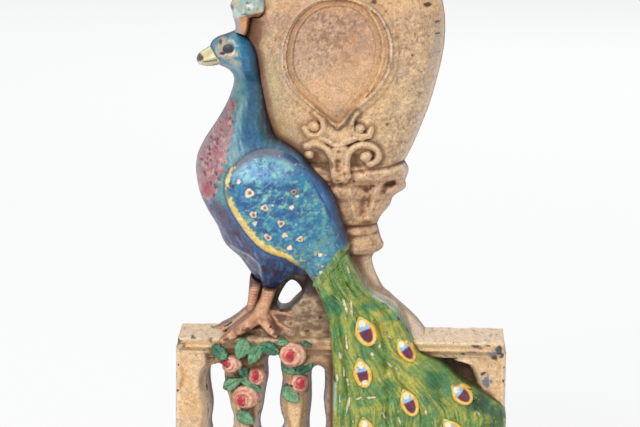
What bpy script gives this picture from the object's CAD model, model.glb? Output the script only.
"""Cast-iron relief door stop: a peacock before an urn, painted by hand and worn.

The relief is built as one family of height fields over the parting plane
y = +2 mm.  Every mass gets its own closed shell: a worked front, walls down
to the parting plane and a hollowed back.  Colours are painted per vertex from
masks and noise, then finished by node materials."""
import bpy
import math
import numpy as np
from mathutils import Matrix, Vector


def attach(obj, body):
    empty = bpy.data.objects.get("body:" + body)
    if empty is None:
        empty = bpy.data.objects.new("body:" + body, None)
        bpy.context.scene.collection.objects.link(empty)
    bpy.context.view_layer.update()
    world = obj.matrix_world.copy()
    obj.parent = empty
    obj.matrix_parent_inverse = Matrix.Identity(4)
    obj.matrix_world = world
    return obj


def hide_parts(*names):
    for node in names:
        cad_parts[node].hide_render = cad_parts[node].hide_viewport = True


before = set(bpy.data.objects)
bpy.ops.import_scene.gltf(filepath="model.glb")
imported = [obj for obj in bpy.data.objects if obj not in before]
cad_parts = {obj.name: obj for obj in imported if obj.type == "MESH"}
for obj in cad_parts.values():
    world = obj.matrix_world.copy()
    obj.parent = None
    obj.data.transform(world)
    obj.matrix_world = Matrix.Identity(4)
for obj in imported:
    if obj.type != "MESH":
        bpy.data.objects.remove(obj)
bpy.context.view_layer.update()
BY = 2.0
G = 0.30                      # grid step, mm
GX = np.arange(-58.2, 58.3, G)
GZ = np.arange(6.0, 191.5, G)
XX, ZZ = np.meshgrid(GX, GZ)  # [row z, column x]


# ------------------------------------------------------------------ maths
def clamp(a, lo=0.0, hi=1.0):
    return np.minimum(np.maximum(a, lo), hi)


def smooth(a, lo, hi):
    t = clamp((a - lo) / (hi - lo))
    return t * t * (3 - 2 * t)


def dome(t):
    t = clamp(t)
    return np.sqrt(np.maximum(0.0, 1 - (1 - t) ** 2))


def lattice(ix, iz, seed):
    n = (ix.astype(np.int64) * 374761393 + iz.astype(np.int64) * 668265263 + seed * 974634777) & 0xFFFFFFFF
    n = ((n ^ (n >> 13)) * 1274126177) & 0xFFFFFFFF
    return ((n ^ (n >> 16)) & 0xFFFF) / 65535.0


def noise(x, z, s, seed=1, sz=None):
    fx, fz = x / s, z / (sz if sz else s)
    ix, iz = np.floor(fx), np.floor(fz)
    tx, tz = fx - ix, fz - iz
    tx, tz = tx * tx * (3 - 2 * tx), tz * tz * (3 - 2 * tz)
    a, b = lattice(ix, iz, seed), lattice(ix + 1, iz, seed)
    c, d = lattice(ix, iz + 1, seed), lattice(ix + 1, iz + 1, seed)
    return (a * (1 - tx) + b * tx) * (1 - tz) + (c * (1 - tx) + d * tx) * tz


def fbm(x, z, s, seed=1, octaves=4, sz=None):
    tot, amp, out = 0.0, 1.0, 0.0
    r = (sz / s) if sz else 1.0
    for k in range(octaves):
        f = s / (2.03 ** k)
        out = out + amp * noise(x + 17.3 * k, z - 9.1 * k, f, seed + 31 * k, f * r)
        tot += amp
        amp *= 0.55
    return out / tot


def curve(pts, closed=True, step=0.7):
    """Catmull-Rom through the points, resampled to about one step."""
    p = np.array(pts, float)
    n = len(p)
    out = []
    m = n if closed else n - 1
    for i in range(m):
        p1, p2 = p[i], p[(i + 1) % n]
        p0 = p[i - 1] if (closed or i > 0) else 2 * p1 - p2
        p3 = p[(i + 2) % n] if (closed or i + 2 < n) else 2 * p2 - p1
        k = max(1, int(np.linalg.norm((p2 - p1)[:2]) / step))
        for j in range(k):
            t = j / k
            out.append(0.5 * ((2 * p1) + (-p0 + p2) * t + (2 * p0 - 5 * p1 + 4 * p2 - p3) * t * t
                              + (-p0 + 3 * p1 - 3 * p2 + p3) * t ** 3))
    if not closed:
        out.append(p[-1])
    return np.array(out)


def seg_dist(X, Z, P, closed):
    """Unsigned distance to a polyline, and the share along it."""
    n = len(P)
    m = n if closed else n - 1
    best = np.full(X.shape, 1e9)
    arc = np.zeros(X.shape)
    for i in range(m):
        a, b = P[i], P[(i + 1) % n]
        dx, dz = b[0] - a[0], b[1] - a[1]
        L = dx * dx + dz * dz + 1e-12
        t = clamp(((X - a[0]) * dx + (Z - a[1]) * dz) / L)
        d = (X - a[0] - t * dx) ** 2 + (Z - a[1] - t * dz) ** 2
        w = d < best
        best = np.where(w, d, best)
        arc = np.where(w, (i + t) / m, arc)
    return np.sqrt(best), arc


def window(X, Z, P, pad):
    lo, hi = P[:, :2].min(0) - pad, P[:, :2].max(0) + pad
    c0, c1 = np.searchsorted(GX, lo[0]), np.searchsorted(GX, hi[0])
    r0, r1 = np.searchsorted(GZ, lo[1]), np.searchsorted(GZ, hi[1])
    return slice(max(r0 - 1, 0), min(r1 + 1, len(GZ))), slice(max(c0 - 1, 0), min(c1 + 1, len(GX)))


def sdf(P, pad=9.0):
    """Signed distance to a closed outline on the grid: negative inside."""
    out = np.full(XX.shape, pad)
    w = window(XX, ZZ, P, pad)
    X, Z = XX[w], ZZ[w]
    d, _ = seg_dist(X, Z, P, True)
    inside = np.zeros(X.shape, bool)
    n = len(P)
    for i in range(n):
        a, b = P[i], P[(i + 1) % n]
        if a[1] == b[1]:
            continue
        c = ((a[1] > Z) != (b[1] > Z)) & (X < (b[0] - a[0]) * (Z - a[1]) / (b[1] - a[1]) + a[0])
        inside ^= c
    out[w] = np.where(inside, -d, np.minimum(d, pad))
    return out


def tube(pts, pad=4.0, closed=False, smoothed=True):
    P = curve(pts, closed) if smoothed else np.array(pts, float)
    out = np.full(XX.shape, 50.0)
    arc = np.zeros(XX.shape)
    w = window(XX, ZZ, P, pad)
    d, a = seg_dist(XX[w], ZZ[w], P, closed)
    out[w] = d
    arc[w] = a
    return out, arc


def capsules(rows, pad=5.0):
    """rows (x, z, depth, radius): returns outline distance and height of the rounded limb."""
    f = np.full(XX.shape, 50.0)
    hgt = np.full(XX.shape, -50.0)
    P = np.array(rows, float)
    w = window(XX, ZZ, P, pad)
    X, Z = XX[w], ZZ[w]
    ff, hh = f[w], hgt[w]
    for a, b in zip(P[:-1], P[1:]):
        dx, dz = b[0] - a[0], b[1] - a[1]
        t = clamp(((X - a[0]) * dx + (Z - a[1]) * dz) / (dx * dx + dz * dz + 1e-12))
        d = np.sqrt((X - a[0] - t * dx) ** 2 + (Z - a[1] - t * dz) ** 2)
        r = a[3] + t * (b[3] - a[3])
        dep = a[2] + t * (b[2] - a[2])
        ff = np.minimum(ff, d - r)
        hh = np.maximum(hh, np.where(d < r * 1.35, dep + np.sqrt(np.maximum(r * r - d * d, 0)) - np.maximum(d - r, 0) * 2, -50))
    f[w], hgt[w] = ff, hh
    return f, hgt


def blur(a, s):
    """Gaussian blur, s in mm."""
    r = int(3 * s / G) + 1
    k = np.exp(-0.5 * (np.arange(-r, r + 1) * G / s) ** 2)
    k /= k.sum()
    p = np.pad(a, ((r, r), (0, 0)), mode="edge")
    a = sum(k[i] * p[i:i + a.shape[0]] for i in range(2 * r + 1))
    p = np.pad(a, ((0, 0), (r, r)), mode="edge")
    return sum(k[i] * p[:, i:i + a.shape[1]] for i in range(2 * r + 1))


def sample(a, x, z):
    fx = clamp((x - GX[0]) / G, 0, len(GX) - 1.001)
    fz = clamp((z - GZ[0]) / G, 0, len(GZ) - 1.001)
    ix, iz = fx.astype(int), fz.astype(int)
    tx, tz = fx - ix, fz - iz
    return (a[iz, ix] * (1 - tx) + a[iz, ix + 1] * tx) * (1 - tz) + (a[iz + 1, ix] * (1 - tx) + a[iz + 1, ix + 1] * tx) * tz


# ------------------------------------------------------------------ outlines, mm (x, z)
BACK = [(-36.2, 161.9), (-33.8, 161.3), (-32.2, 160.0), (-30.8, 158.4), (-29.5, 156.1), (-28.8, 153.4), (-28.3, 150.1),
        (-27.7, 146.1), (-27.0, 142.8), (-26.3, 139.4), (-25.7, 136.1), (-25.0, 133.4), (-24.2, 130.4), (-23.2, 128.1),
        (-22.0, 127.0), (-20.2, 126.3), (-17.9, 125.1), (-15.6, 123.6), (-13.9, 122.2), (-12.5, 120.5), (-11.2, 118.9),
        (-9.5, 117.2), (-7.8, 115.5), (-5.9, 113.5), (-4.4, 111.5), (-3.1, 109.3), (-1.8, 106.3), (-1.0, 103.6),
        (-0.2, 100.9), (0.6, 98.4), (1.5, 95.8), (2.4, 93.3), (2.6, 91.8)]
BELLY = [(1.8, 90.1), (0.0, 88.6), (-3.0, 85.6), (-6.5, 83.0), (-10.2, 81.4), (-13.0, 81.4), (-15.2, 81.8), (-17.2, 81.4),
         (-18.9, 80.2), (-20.4, 78.4), (-21.6, 76.6), (-23.0, 76.0), (-24.8, 76.2), (-26.4, 76.8), (-28.2, 77.9),
         (-29.8, 79.2), (-31.2, 80.9), (-32.3, 82.4), (-33.3, 83.6), (-34.3, 85.0), (-35.4, 86.3), (-36.7, 87.4),
         (-38.2, 88.6), (-39.7, 90.1)]
FRONT = [(-40.8, 92.0), (-41.6, 94.2), (-42.5, 96.4), (-43.7, 98.4), (-44.8, 100.1), (-46.1, 102.4), (-47.5, 105.1),
         (-48.5, 107.8), (-49.2, 110.9), (-49.6, 113.9), (-49.6, 117.0), (-49.3, 119.3), (-48.6, 121.4), (-47.8, 123.1),
         (-46.6, 125.4), (-45.3, 127.5), (-43.9, 129.6), (-42.0, 132.6), (-40.3, 135.7), (-39.0, 138.4), (-38.0, 141.1),
         (-37.3, 143.5), (-37.1, 145.5), (-37.5, 146.9), (-38.5, 148.1), (-39.9, 149.0), (-41.4, 149.6), (-42.5, 150.2)]
FACE = [(-41.9, 150.7), (-41.7, 151.8), (-42.3, 153.2), (-43.6, 154.8), (-45.2, 156.3), (-44.4, 158.1), (-42.6, 159.4),
        (-40.2, 160.3), (-38.1, 161.1)]
BIRD = BACK + BELLY + FRONT + FACE
BEAK = [(-45.2, 156.5), (-46.1, 155.8), (-47.0, 155.2), (-48.1, 154.6), (-49.0, 153.8), (-49.6, 152.6), (-49.7, 151.2),
        (-49.0, 150.1), (-47.2, 149.6), (-45.0, 149.5), (-42.7, 149.9), (-41.2, 150.3), (-41.0, 151.8), (-41.7, 153.5), (-43.0, 155.3)]
HEAD = BACK + BELLY + FRONT + [(-45.0, 149.5), (-47.2, 149.6), (-49.0, 150.1), (-49.7, 151.2), (-49.6, 152.6), (-49.0, 153.8), (-48.1, 154.6),
                               (-47.0, 155.2), (-46.1, 155.8), (-45.2, 156.6), (-44.4, 158.1), (-42.6, 159.4), (-40.2, 160.3), (-38.1, 161.1)]
WING = [(-34.6, 120.4), (-36.4, 118.8), (-37.9, 116.8), (-38.8, 114.4), (-39.0, 111.2), (-38.3, 107.8), (-36.9, 104.5),
        (-34.9, 101.2), (-32.6, 97.9), (-30.2, 94.8), (-27.6, 92.2), (-24.9, 90.5), (-21.9, 89.4), (-18.6, 88.5),
        (-16.5, 87.0), (-13.9, 84.7), (-11.6, 82.3), (-9.9, 80.0), (-8.6, 79.1), (-7.0, 79.9), (-5.4, 81.8), (-3.5, 84.3), (-1.6, 86.3),
        (-0.3, 88.6), (-0.5, 91.8), (-1.3, 96.8), (-3.0, 101.1), (-5.5, 106.0), (-7.8, 110.2), (-10.0, 113.9),
        (-12.4, 117.6), (-15.0, 120.5), (-18.3, 122.8), (-22.3, 124.3), (-26.6, 124.5), (-30.5, 123.3), (-32.9, 121.9)]
TRAIN_L = [(-9.4, 80.2), (-8.8, 78.8), (-8.0, 77.2), (-6.8, 75.0), (-5.7, 72.2), (-4.6, 68.5), (-3.7, 64.1), (-3.2, 60.4),
           (-2.8, 55.7), (-2.4, 50.6), (-2.4, 45.5), (-2.3, 36.3), (-2.2, 28.0), (-2.0, 20.0), (-1.2, 13.8)]
TRAIN_B = [(2.0, 10.2), (9.0, 9.2), (18.0, 8.9), (28.0, 9.0), (38.0, 9.4), (45.5, 10.6), (50.4, 13.6)]
TRAIN_R = [(53.2, 18.4), (54.6, 24.0), (55.4, 30.5), (55.5, 35.4), (54.9, 38.2), (53.7, 39.8), (52.2, 40.9), (50.4, 42.2), (48.7, 43.4),
           (46.4, 44.5), (44.2, 45.6), (41.8, 46.9), (39.2, 48.6), (37.4, 50.4), (35.4, 52.2), (33.4, 53.8), (30.6, 55.2), (27.9, 56.4),
           (26.2, 57.8), (24.9, 59.8), (23.8, 62.2), (22.6, 64.5), (20.8, 67.4), (19.2, 69.8), (17.4, 71.7), (14.8, 73.5), (12.4, 74.8),
           (9.8, 76.4), (7.2, 79.6), (4.3, 84.6), (2.9, 87.4), (1.8, 89.9), (0.6, 92.4), (-0.6, 94.6)]
TRAIN = TRAIN_L + TRAIN_B + TRAIN_R + [(-3.0, 92.0)]
CREST = [(-37.6, 160.7), (-36.8, 161.9), (-36.5, 163.4), (-36.9, 165.2), (-37.3, 167.0), (-37.6, 168.8), (-38.2, 170.4), (-37.9, 171.8),
         (-36.6, 172.8), (-35.8, 174.6), (-34.1, 175.7), (-32.7, 177.1), (-30.6, 177.1), (-29.2, 175.9), (-27.7, 175.0),
         (-26.8, 173.0), (-26.6, 170.8), (-27.0, 168.6), (-28.0, 167.1), (-30.0, 166.9), (-31.2, 166.6), (-31.5, 164.6),
         (-32.2, 162.2), (-33.2, 160.4)]
HOLE = [(-17.0, 78.6), (-15.3, 77.9), (-14.1, 76.6), (-13.4, 75.2), (-13.9, 73.8), (-15.3, 72.4), (-16.6, 71.0),
        (-17.9, 69.6), (-19.6, 69.1), (-21.0, 69.4), (-21.7, 70.6), (-21.4, 72.0), (-20.8, 73.7), (-19.8, 75.6), (-18.6, 77.4)]
URN = [(30.2, 60.0), (29.2, 61.6), (27.9, 63.3), (26.2, 65.4), (23.8, 67.7), (21.4, 69.8), (19.0, 71.8), (16.9, 73.8),
       (15.0, 75.2), (14.0, 76.6), (13.2, 78.2), (12.2, 80.2), (11.5, 81.9), (10.9, 84.0), (10.8, 85.7), (11.2, 86.9),
       (12.4, 87.7), (13.8, 88.5), (14.5, 89.4), (14.7, 90.4), (14.1, 91.5), (13.5, 92.9), (13.1, 94.6), (12.7, 96.0),
       (12.4, 97.2), (12.7, 98.3), (13.4, 99.7), (14.4, 101.1), (15.6, 102.4), (16.6, 103.8), (17.0, 104.9), (17.3, 106.2),
       (18.3, 107.2), (19.8, 108.2), (21.1, 109.0), (21.8, 109.8), (21.9, 110.8), (21.6, 111.8), (21.7, 112.7), (22.4, 114.3),
       (22.7, 115.5), (22.5, 116.6), (21.8, 117.8), (21.2, 118.8), (22.0, 120.2), (24.0, 124.3), (25.6, 128.3),
       (27.2, 132.4), (28.8, 136.5), (30.0, 140.5), (31.1, 144.6), (32.1, 148.6), (33.0, 152.7), (33.8, 157.7),
       (34.1, 162.7), (33.9, 167.7), (33.1, 172.2), (31.4, 176.2), (28.2, 179.6), (24.0, 181.6), (20.0, 182.6), (17.8, 183.4),
       (17.5, 184.4), (18.4, 185.4), (21.0, 186.2), (22.8, 187.0), (23.2, 188.2), (22.8, 189.3), (21.8, 190.0), (20.5, 190.6)]
HALF = np.array(URN)

# ------------------------------------------------------------------ urn height
UX = -1.0
hw = np.interp(ZZ, HALF[:, 1], HALF[:, 0])
env = np.interp(ZZ, [60, 76, 86, 100, 112, 119, 135, 160, 178, 190], [18, 14.5, 12.6, 13.0, 14.6, 15.6, 19.6, 21.4, 19.5, 15.5])
base_hw = np.interp(ZZ, [60, 76, 86, 100, 112, 119, 135, 160, 178, 190], [28.6, 16, 12.2, 14.5, 21, 21.8, 28.2, 34, 31, 22])
uu = clamp((XX - UX) / np.maximum(hw, 0.5), -1, 1)
H_urn = (env * hw / base_hw) * (1 - np.abs(uu) ** 2.15) ** (1 / 2.15)
f_urn = np.maximum(np.abs(XX - UX) - hw, ZZ - 190.0) * 0.92

# collar, ring bead and its grooves; the cove under the cup
for z0, dep, wid in ((97.4, 1.2, 0.55), (94.2, 0.8, 0.5), (87.6, 1.0, 0.6), (111.6, 0.35, 0.5), (184.3, 0.6, 0.7)):
    H_urn = H_urn - dep * np.exp(-((ZZ - z0) / wid) ** 2)
# flutes and strap work of the cup
cup = smooth(ZZ, 98.8, 100.4) * (1 - smooth(ZZ, 111.2, 112.4))
ang = np.arcsin(clamp(uu, -0.999, 0.999))
H_urn = H_urn + cup * 0.55 * (np.cos(ang * 9.0) - 0.25)
for pts, r, dep in (([(0.6, 116.2), (4.0, 116.6), (7.9, 117.1), (13.0, 117.5), (17.3, 118.0), (21.6, 119.0)], 0.62, 1.35),
                    ([(-14.0, 119.2), (-9.0, 118.4), (-4.6, 117.4)], 0.7, 0.9),
                    ([(7.7, 110.4), (7.3, 108.0), (6.8, 105.4), (6.5, 102.6)], 1.5, 1.5), ([(9.8, 111.2), (8.2, 109.8)], 0.9, 1.1),
                    ([(5.8, 111.0), (7.4, 110.2)], 0.8, 0.9), ([(8.9, 108.4), (8.4, 104.2)], 0.6, 0.9),
                    ([(13.2, 109.6), (14.2, 111.6), (16.4, 112.2)], 0.9, 1.9), ([(-2.0, 118.3), (-1.9, 118.0)], 0.9, 1.5),
                    ([(-1.0, 115.4), (-0.6, 115.3)], 0.7, 1.0), ([(-0.9, 112.7), (-0.7, 112.6)], 0.7, 0.8),
                    ([(-8.9, 122.2), (-7.8, 120.2), (-6.6, 118.8)], 1.5, 1.3), ([(3.9, 121.6), (4.2, 119.2), (5.6, 117.9)], 1.2, 1.3)):
    d, _ = tube(pts)
    H_urn = H_urn - dep * np.exp(-(d / r) ** 2)
for pts, r, hgt in (([(20.6, 111.0), (17.2, 109.6), (14.6, 106.6), (12.6, 102.6), (9.6, 99.4)], 0.75, 1.5),
                    ([(20.9, 112.6), (16.6, 110.6), (13.4, 107.6), (11.2, 103.4), (8.4, 100.0)], 0.65, 1.2),
                    ([(2.2, 111.4), (3.0, 106.0), (4.2, 100.6)], 1.0, 1.4), ([(-4.6, 111.8), (-5.2, 106.0), (-5.6, 100.6)], 0.9, 1.0),
                    ([(11.0, 110.8), (10.2, 105.0), (8.0, 100.4)], 0.8, 1.1)):
    d, _ = tube(pts)
    H_urn = H_urn + hgt * np.exp(-(d / r) ** 2)
# shelf band: rounded, with a hard groove over it on the right
shelf = smooth(ZZ, 112.4, 114.0) * (1 - smooth(ZZ, 117.0, 118.8))
H_urn = H_urn + 0.9 * shelf
# shoulder gadroons near the rim
gad = smooth(ZZ, 176.4, 178.4) * (1 - smooth(ZZ, 181.2, 182.6))
H_urn = H_urn + gad * 0.45 * np.cos(ang * 15)
# the sand-cast skin: low pitting everywhere
skin = (fbm(XX, ZZ, 1.6, 5, 3) - 0.5) * 0.10 + (fbm(XX, ZZ, 7.0, 9, 2) - 0.5) * 0.25
H_urn = H_urn + skin

# the casting is filled between the legs, the belly and the urn's foot, but for one gap
WEB = [(-30.4, 81.5), (-26.0, 80.5), (-20.0, 82.0), (-12.0, 84.0), (-6.0, 82.0), (-5.0, 70.0), (-5.0, 60.6), (-32.0, 60.6), (-31.6, 66.0), (-30.6, 69.5),
       (-29.9, 73.0), (-29.7, 77.5)]
s_web = sdf(curve(WEB))
foot_d = hw - np.abs(XX - UX)
H_ft = np.interp(ZZ, [60.6, 62, 64, 67, 70, 75, 80, 86], [18.5, 16.8, 14.2, 11.8, 10.4, 9.0, 8.4, 8.2])
H_ft = H_ft * (0.20 + 0.80 * dome(np.maximum(foot_d, 0) / 4.6)) + (fbm(XX, ZZ, 2.4, 56, 3) - 0.5) * 0.5
H_urn = np.where((ZZ < 86) & (foot_d > 0), np.maximum(H_urn * smooth(ZZ, 70, 86), H_ft), H_urn)
H_web = np.interp(ZZ, [60.6, 62, 64, 67, 70, 74, 78, 84], [17.6, 16.2, 13.6, 11.6, 10.0, 8.2, 7.0, 6.5]) * (0.72 + 0.28 * dome(-s_web / 4.0)) + (fbm(XX, ZZ, 2.2, 55, 3) - 0.5) * 0.7
H_web = H_web + 0.9 * np.exp(-((ZZ - 66.4) / 0.8) ** 2) - 0.8 * np.exp(-((ZZ - 64.9) / 0.6) ** 2) + 0.8 * np.exp(-((ZZ - 62.9) / 0.7) ** 2)
H_urn = np.where((s_web < 0) & (ZZ < 86), np.maximum(H_urn, H_web), H_urn)
f_urn = np.minimum(f_urn, np.maximum(s_web, ZZ - 86))

# medallion band and scrolls on the belly
OUTER = [(-2.3, 174.7), (-8.9, 174.0), (-14.0, 170.6), (-17.9, 165.6), (-20.3, 159.0), (-20.7, 153.4), (-19.7, 148.2),
         (-16.7, 143.3), (-12.7, 139.4), (-8.6, 136.0), (-5.6, 133.6), (-3.6, 131.4), (-2.0, 129.6), (-0.4, 131.2), (1.6, 133.6),
         (5.2, 137.6), (9.9, 142.0), (13.4, 146.4), (15.8, 151.3), (16.4, 157.9), (15.1, 163.5), (12.0, 168.8), (8.0, 172.2), (3.2, 174.2)]
INNER = [(-2.3, 171.6), (-7.5, 170.8), (-11.8, 168.0), (-15.1, 163.6), (-16.8, 158.1), (-17.0, 152.8), (-15.8, 148.2),
         (-12.4, 143.7), (-8.7, 140.0), (-5.6, 137.2), (-2.1, 134.2), (0.8, 137.2), (3.6, 140.6), (7.2, 144.2),
         (10.4, 148.8), (12.2, 153.9), (12.4, 159.3), (10.6, 164.4), (7.0, 169.0), (2.4, 171.2)]
OUTER = [(x + 0.071 * min(x + 2, 0) + (0.4 if x > 8 else 0.0), z + 1.4 * min(max((z - 150) / 20, 0), 1)) for x, z in OUTER]
INNER = [(x - 0.9 * min(max((-2 - x) / 13, 0), 1) - 1.2 * min(max((x + 2) / 12, 0), 1), z + 1.5 * min(max((z - 150) / 20, 0), 1)) for x, z in INNER]
s_out, s_in = sdf(curve(OUTER), 6), sdf(curve(INNER), 6)
f_band = np.maximum(s_out - 0.35, -s_in - 0.35)
rise = 0.55 * smooth(-s_out, -0.4, 0.5) * smooth(s_in, -0.4, 0.5)
rise = rise + 0.84 * np.exp(-((s_out + 1.0) / 1.0) ** 2) + 0.66 * np.exp(-((s_in - 0.9) / 0.9) ** 2)
rise = rise - 0.5 * np.exp(-((s_out + 2.35) / 0.55) ** 2)
rise = rise * (0.82 + 0.36 * fbm(XX, ZZ, 3.0, 59, 2))
H_band = H_urn + rise
H_urn = H_urn - 0.35 * smooth(-s_in, 0.0, 1.2) + 0.25 * smooth(-s_in, 4, 12)
f_scr = np.full(XX.shape, 50.0)
add = np.zeros(XX.shape)
near_s = np.full(XX.shape, 50.0)
for pts, r, hgt in (([(-9.2, 136.6), (-7.2, 134.4), (-6.5, 131.9), (-7.4, 129.7), (-9.6, 128.7), (-11.8, 129.4), (-12.9, 131.0)], 0.85, 1.15),
                    ([(-9.9, 131.9), (-9.7, 131.8)], 1.35, 1.25),
                    ([(4.2, 136.8), (2.9, 134.4), (2.6, 131.8), (3.9, 129.5), (6.4, 128.9), (8.6, 129.8), (9.2, 131.4)], 0.8, 1.1),
                    ([(5.2, 131.6), (5.4, 131.5)], 1.2, 1.1),
                    ([(-11.6, 128.9), (-8.2, 128.2), (-4.8, 127.0), (-1.9, 125.6), (1.0, 127.0), (4.2, 128.2), (8.4, 129.0)], 0.9, 0.85),
                    ([(1.7, 115.4), (1.2, 118.0), (1.2, 121.0), (2.0, 123.4), (4.4, 125.4), (7.6, 125.9), (10.6, 124.6), (11.7, 122.3),
                      (10.8, 120.0), (8.6, 119.3)], 0.95, 1.25),
                    ([(7.4, 121.7), (7.6, 121.7)], 1.45, 1.4),
                    ([(-12.4, 124.9), (-9.2, 126.1), (-6.0, 124.6), (-4.0, 121.9), (-3.4, 119.0), (-3.0, 115.4)], 1.0, 1.2),
                    ([(-11.3, 121.8), (-11.1, 121.7)], 1.3, 1.1),
                    ([(-1.0, 123.6), (-0.9, 119.0), (-0.9, 115.2)], 2.3, 0.72),
                    ([(-5.4, 130.0), (-2.0, 128.4), (1.3, 130.0)], 1.7, 0.62)):
    d, _ = tube(pts)
    r = r * 1.32 * (0.82 + 0.36 * fbm(XX, ZZ, 2.2, 57, 2))
    d = np.maximum(d + 0.5 * (fbm(XX, ZZ, 1.5, 58, 3) - 0.5), 0)
    near_s = np.minimum(near_s, d - r)
    f_scr = np.minimum(f_scr, d - r)
    add = np.maximum(add, 1.25 * hgt * np.maximum(0, 1 - (d / r) ** 2) ** 0.9)
d, _ = tube([(-0.9, 124.0), (-0.9, 119.0), (-1.0, 113.4)])
H_urn = H_urn + 0.75 * smooth(-d, -3.4, -1.8)
for px_, pz_, a_, b_, k_ in ((-1.7, 120.1, 0.95, 0.8, 1.5), (-1.4, 117.1, 0.75, 0.45, 1.0), (-1.7, 113.9, 0.85, 0.45, 0.9), (-1.5, 123.5, 0.7, 0.55, 0.8)):
    H_urn = H_urn - k_ * np.exp(-((XX - px_) / a_) ** 2 - ((ZZ - pz_) / b_) ** 2)
H_scr = H_urn + 0.02 + add
lipd, _ = tube([(-10.3, 127.6), (-7.6, 126.8), (-4.7, 125.5), (-1.8, 123.7), (1.1, 125.6), (3.6, 126.9), (8.2, 128.0)])
H_urn = H_urn - 1.0 * np.exp(-(lipd / 0.55) ** 2)
for pts, r, dep in (([(-7.9, 133.8), (-7.7, 131.6), (-8.8, 130.1)], 0.7, 0.9), ([(3.9, 133.4), (4.2, 130.7), (6.6, 130.4)], 0.7, 0.9),
                    ([(9.6, 123.0), (9.4, 121.2)], 0.7, 0.9)):
    d, _ = tube(pts)
    H_urn = H_urn - dep * np.exp(-(d / r) ** 2)

# ------------------------------------------------------------------ bird height
bl = np.array([p for p in BELLY[-10:] + FRONT], float)
br = np.array(BACK[::-1], float)
zl, xl = bl[:, 1], bl[:, 0]
left = np.interp(ZZ, zl, xl)
zr = np.concatenate([[77.5, 79.5, 82, 85, 88], br[:, 1]])
xr = np.concatenate([[-20.5, -15.5, -9, -3.5, 0], br[:, 0]])
right = np.interp(ZZ, zr, xr)
cx, wx = (left + right) / 2, np.maximum((right - left) / 2, 1.0)
dp = np.interp(ZZ, [76, 79, 82, 85, 88, 92, 97, 103, 109, 116, 122, 126, 130, 135, 141, 146, 152],
               [9.5, 13, 16.5, 19.5, 21.6, 23.4, 24.6, 25, 24.6, 23, 20.8, 18.8, 16.8, 14.8, 13.0, 12.2, 12.4])
ub = clamp((XX - cx) / wx, -1, 1)
hr = np.where(np.abs(right - UX) < hw, sample(H_urn, right, ZZ) - 0.9, 0.0)
hr = blur(np.maximum(hr, 0.0), 1.0)
He_b = hr * smooth(ub, -0.5, 1.0)
H_body = He_b + np.maximum(dp - He_b, 1.5) * (1 - np.abs(ub) ** 2.2) ** (1 / 2.2)
s_bird = sdf(curve(BIRD))
s_beak = sdf(curve(BEAK))
s_head = sdf(curve(HEAD))
H_head = He_b + (14.8 - 0.35 * He_b) * np.sin(np.pi / 2 * clamp(-s_head / 6.8)) ** 0.8
wh = smooth(ZZ, 144.0, 150.0)
H_bird = H_body * (1 - wh) + H_head * wh
# thigh over the belly, far thigh tucked under
thigh = 1.9 * dome(1.25 - np.hypot((XX + 23.5) / 7.2, (ZZ - 83.2) / 8.0)) * smooth(-ZZ, -93, -86)
H_bird = H_bird + thigh
crease, _ = tube([(-33.6, 86.4), (-30.6, 83.4), (-28.2, 80.6), (-27.0, 78.0)])
H_bird = H_bird - 1.8 * np.exp(-(crease / 0.7) ** 2)
# plumage: overlapping scales on the breast, soft strands on neck and belly
sc = 2.1
row = np.floor((ZZ + 0.35 * XX) / sc)
px_ = (XX - 0.35 * ZZ + (row % 2) * sc * 0.5) / sc
sx = px_ - np.floor(px_) - 0.5
sz = (ZZ + 0.35 * XX) / sc - row
scale_h = 0.16 * (1 - sz) * (1 - 4 * sx * sx)
brm = smooth(-XX, 33, 41) * smooth(ZZ, 100, 108) * (1 - smooth(ZZ, 132, 138))
str_h = (noise(XX + 0.25 * ZZ, ZZ, 0.9, 41, 5.0) - 0.5) * 0.30
H_bird = H_bird + scale_h * brm + str_h * (1 - brm) * smooth(-s_bird, 0.3, 1.5)
# eye: brow, socket and ball
ex, ez = -38.5, 156.6
ca, sa = math.cos(math.radians(12)), math.sin(math.radians(12))
ea = ((XX - ex) * ca + (ZZ - ez) * sa) / 1.95
eb = (-(XX - ex) * sa + (ZZ - ez) * ca) / 1.35
er = np.hypot(ea, eb)
H_bird = H_bird + 0.55 * np.exp(-((er - 1.25) / 0.28) ** 2) - 0.5 * np.exp(-((er - 0.95) / 0.2) ** 2) + 0.55 * dome(1 - er)
nb, _ = tube([(-42.0, 158.2), (-40.2, 158.9)])
H_bird = H_bird + 0.3 * np.exp(-(nb / 0.8) ** 2)
s_hole = sdf(curve(HOLE))
f_bird = np.maximum(s_bird, -s_hole)
H_beak = H_head * 0.985 + 0.15
mouth, _ = tube([(-47.0, 151.6), (-45.0, 151.9), (-42.6, 152.5)])
H_beak = H_beak - 0.5 * np.exp(-(mouth / 0.32) ** 2)
nos, _ = tube([(-47.6, 152.8), (-47.2, 153.2)])
H_beak = H_beak - 0.7 * np.exp(-(nos / 0.45) ** 2)
f_beak = np.maximum(s_beak, -s_bird)

# ------------------------------------------------------------------ train height
s_train = sdf(curve(TRAIN))
tl = np.array(TRAIN_L[::-1], float)
tr = np.array(TRAIN_R, float)
txl = np.interp(ZZ, tl[:, 1], tl[:, 0])
txr = np.interp(ZZ, tr[:, 1], tr[:, 0])
tv = clamp((XX - txl) / np.maximum(txr - txl, 1.0))
top_edge = smooth(ZZ, 50, 66) * smooth(tv, 0.2, 0.9)
He = 20.6 - 3.6 * top_edge * (1 - smooth(ZZ, 78, 90)) - 4.0 * smooth(tv, 0.86, 1.0) * (1 - smooth(ZZ, 40, 50))
Hm = np.interp(ZZ, [8, 14, 25, 60, 72, 82, 88, 95], [20.5, 22.6, 23.8, 24.9, 24.0, 23.6, 22.8, 20.6])
H_train = He + (np.maximum(Hm, He) - He) * dome(-s_train / (3.2 + 0.6 * top_edge))
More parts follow.
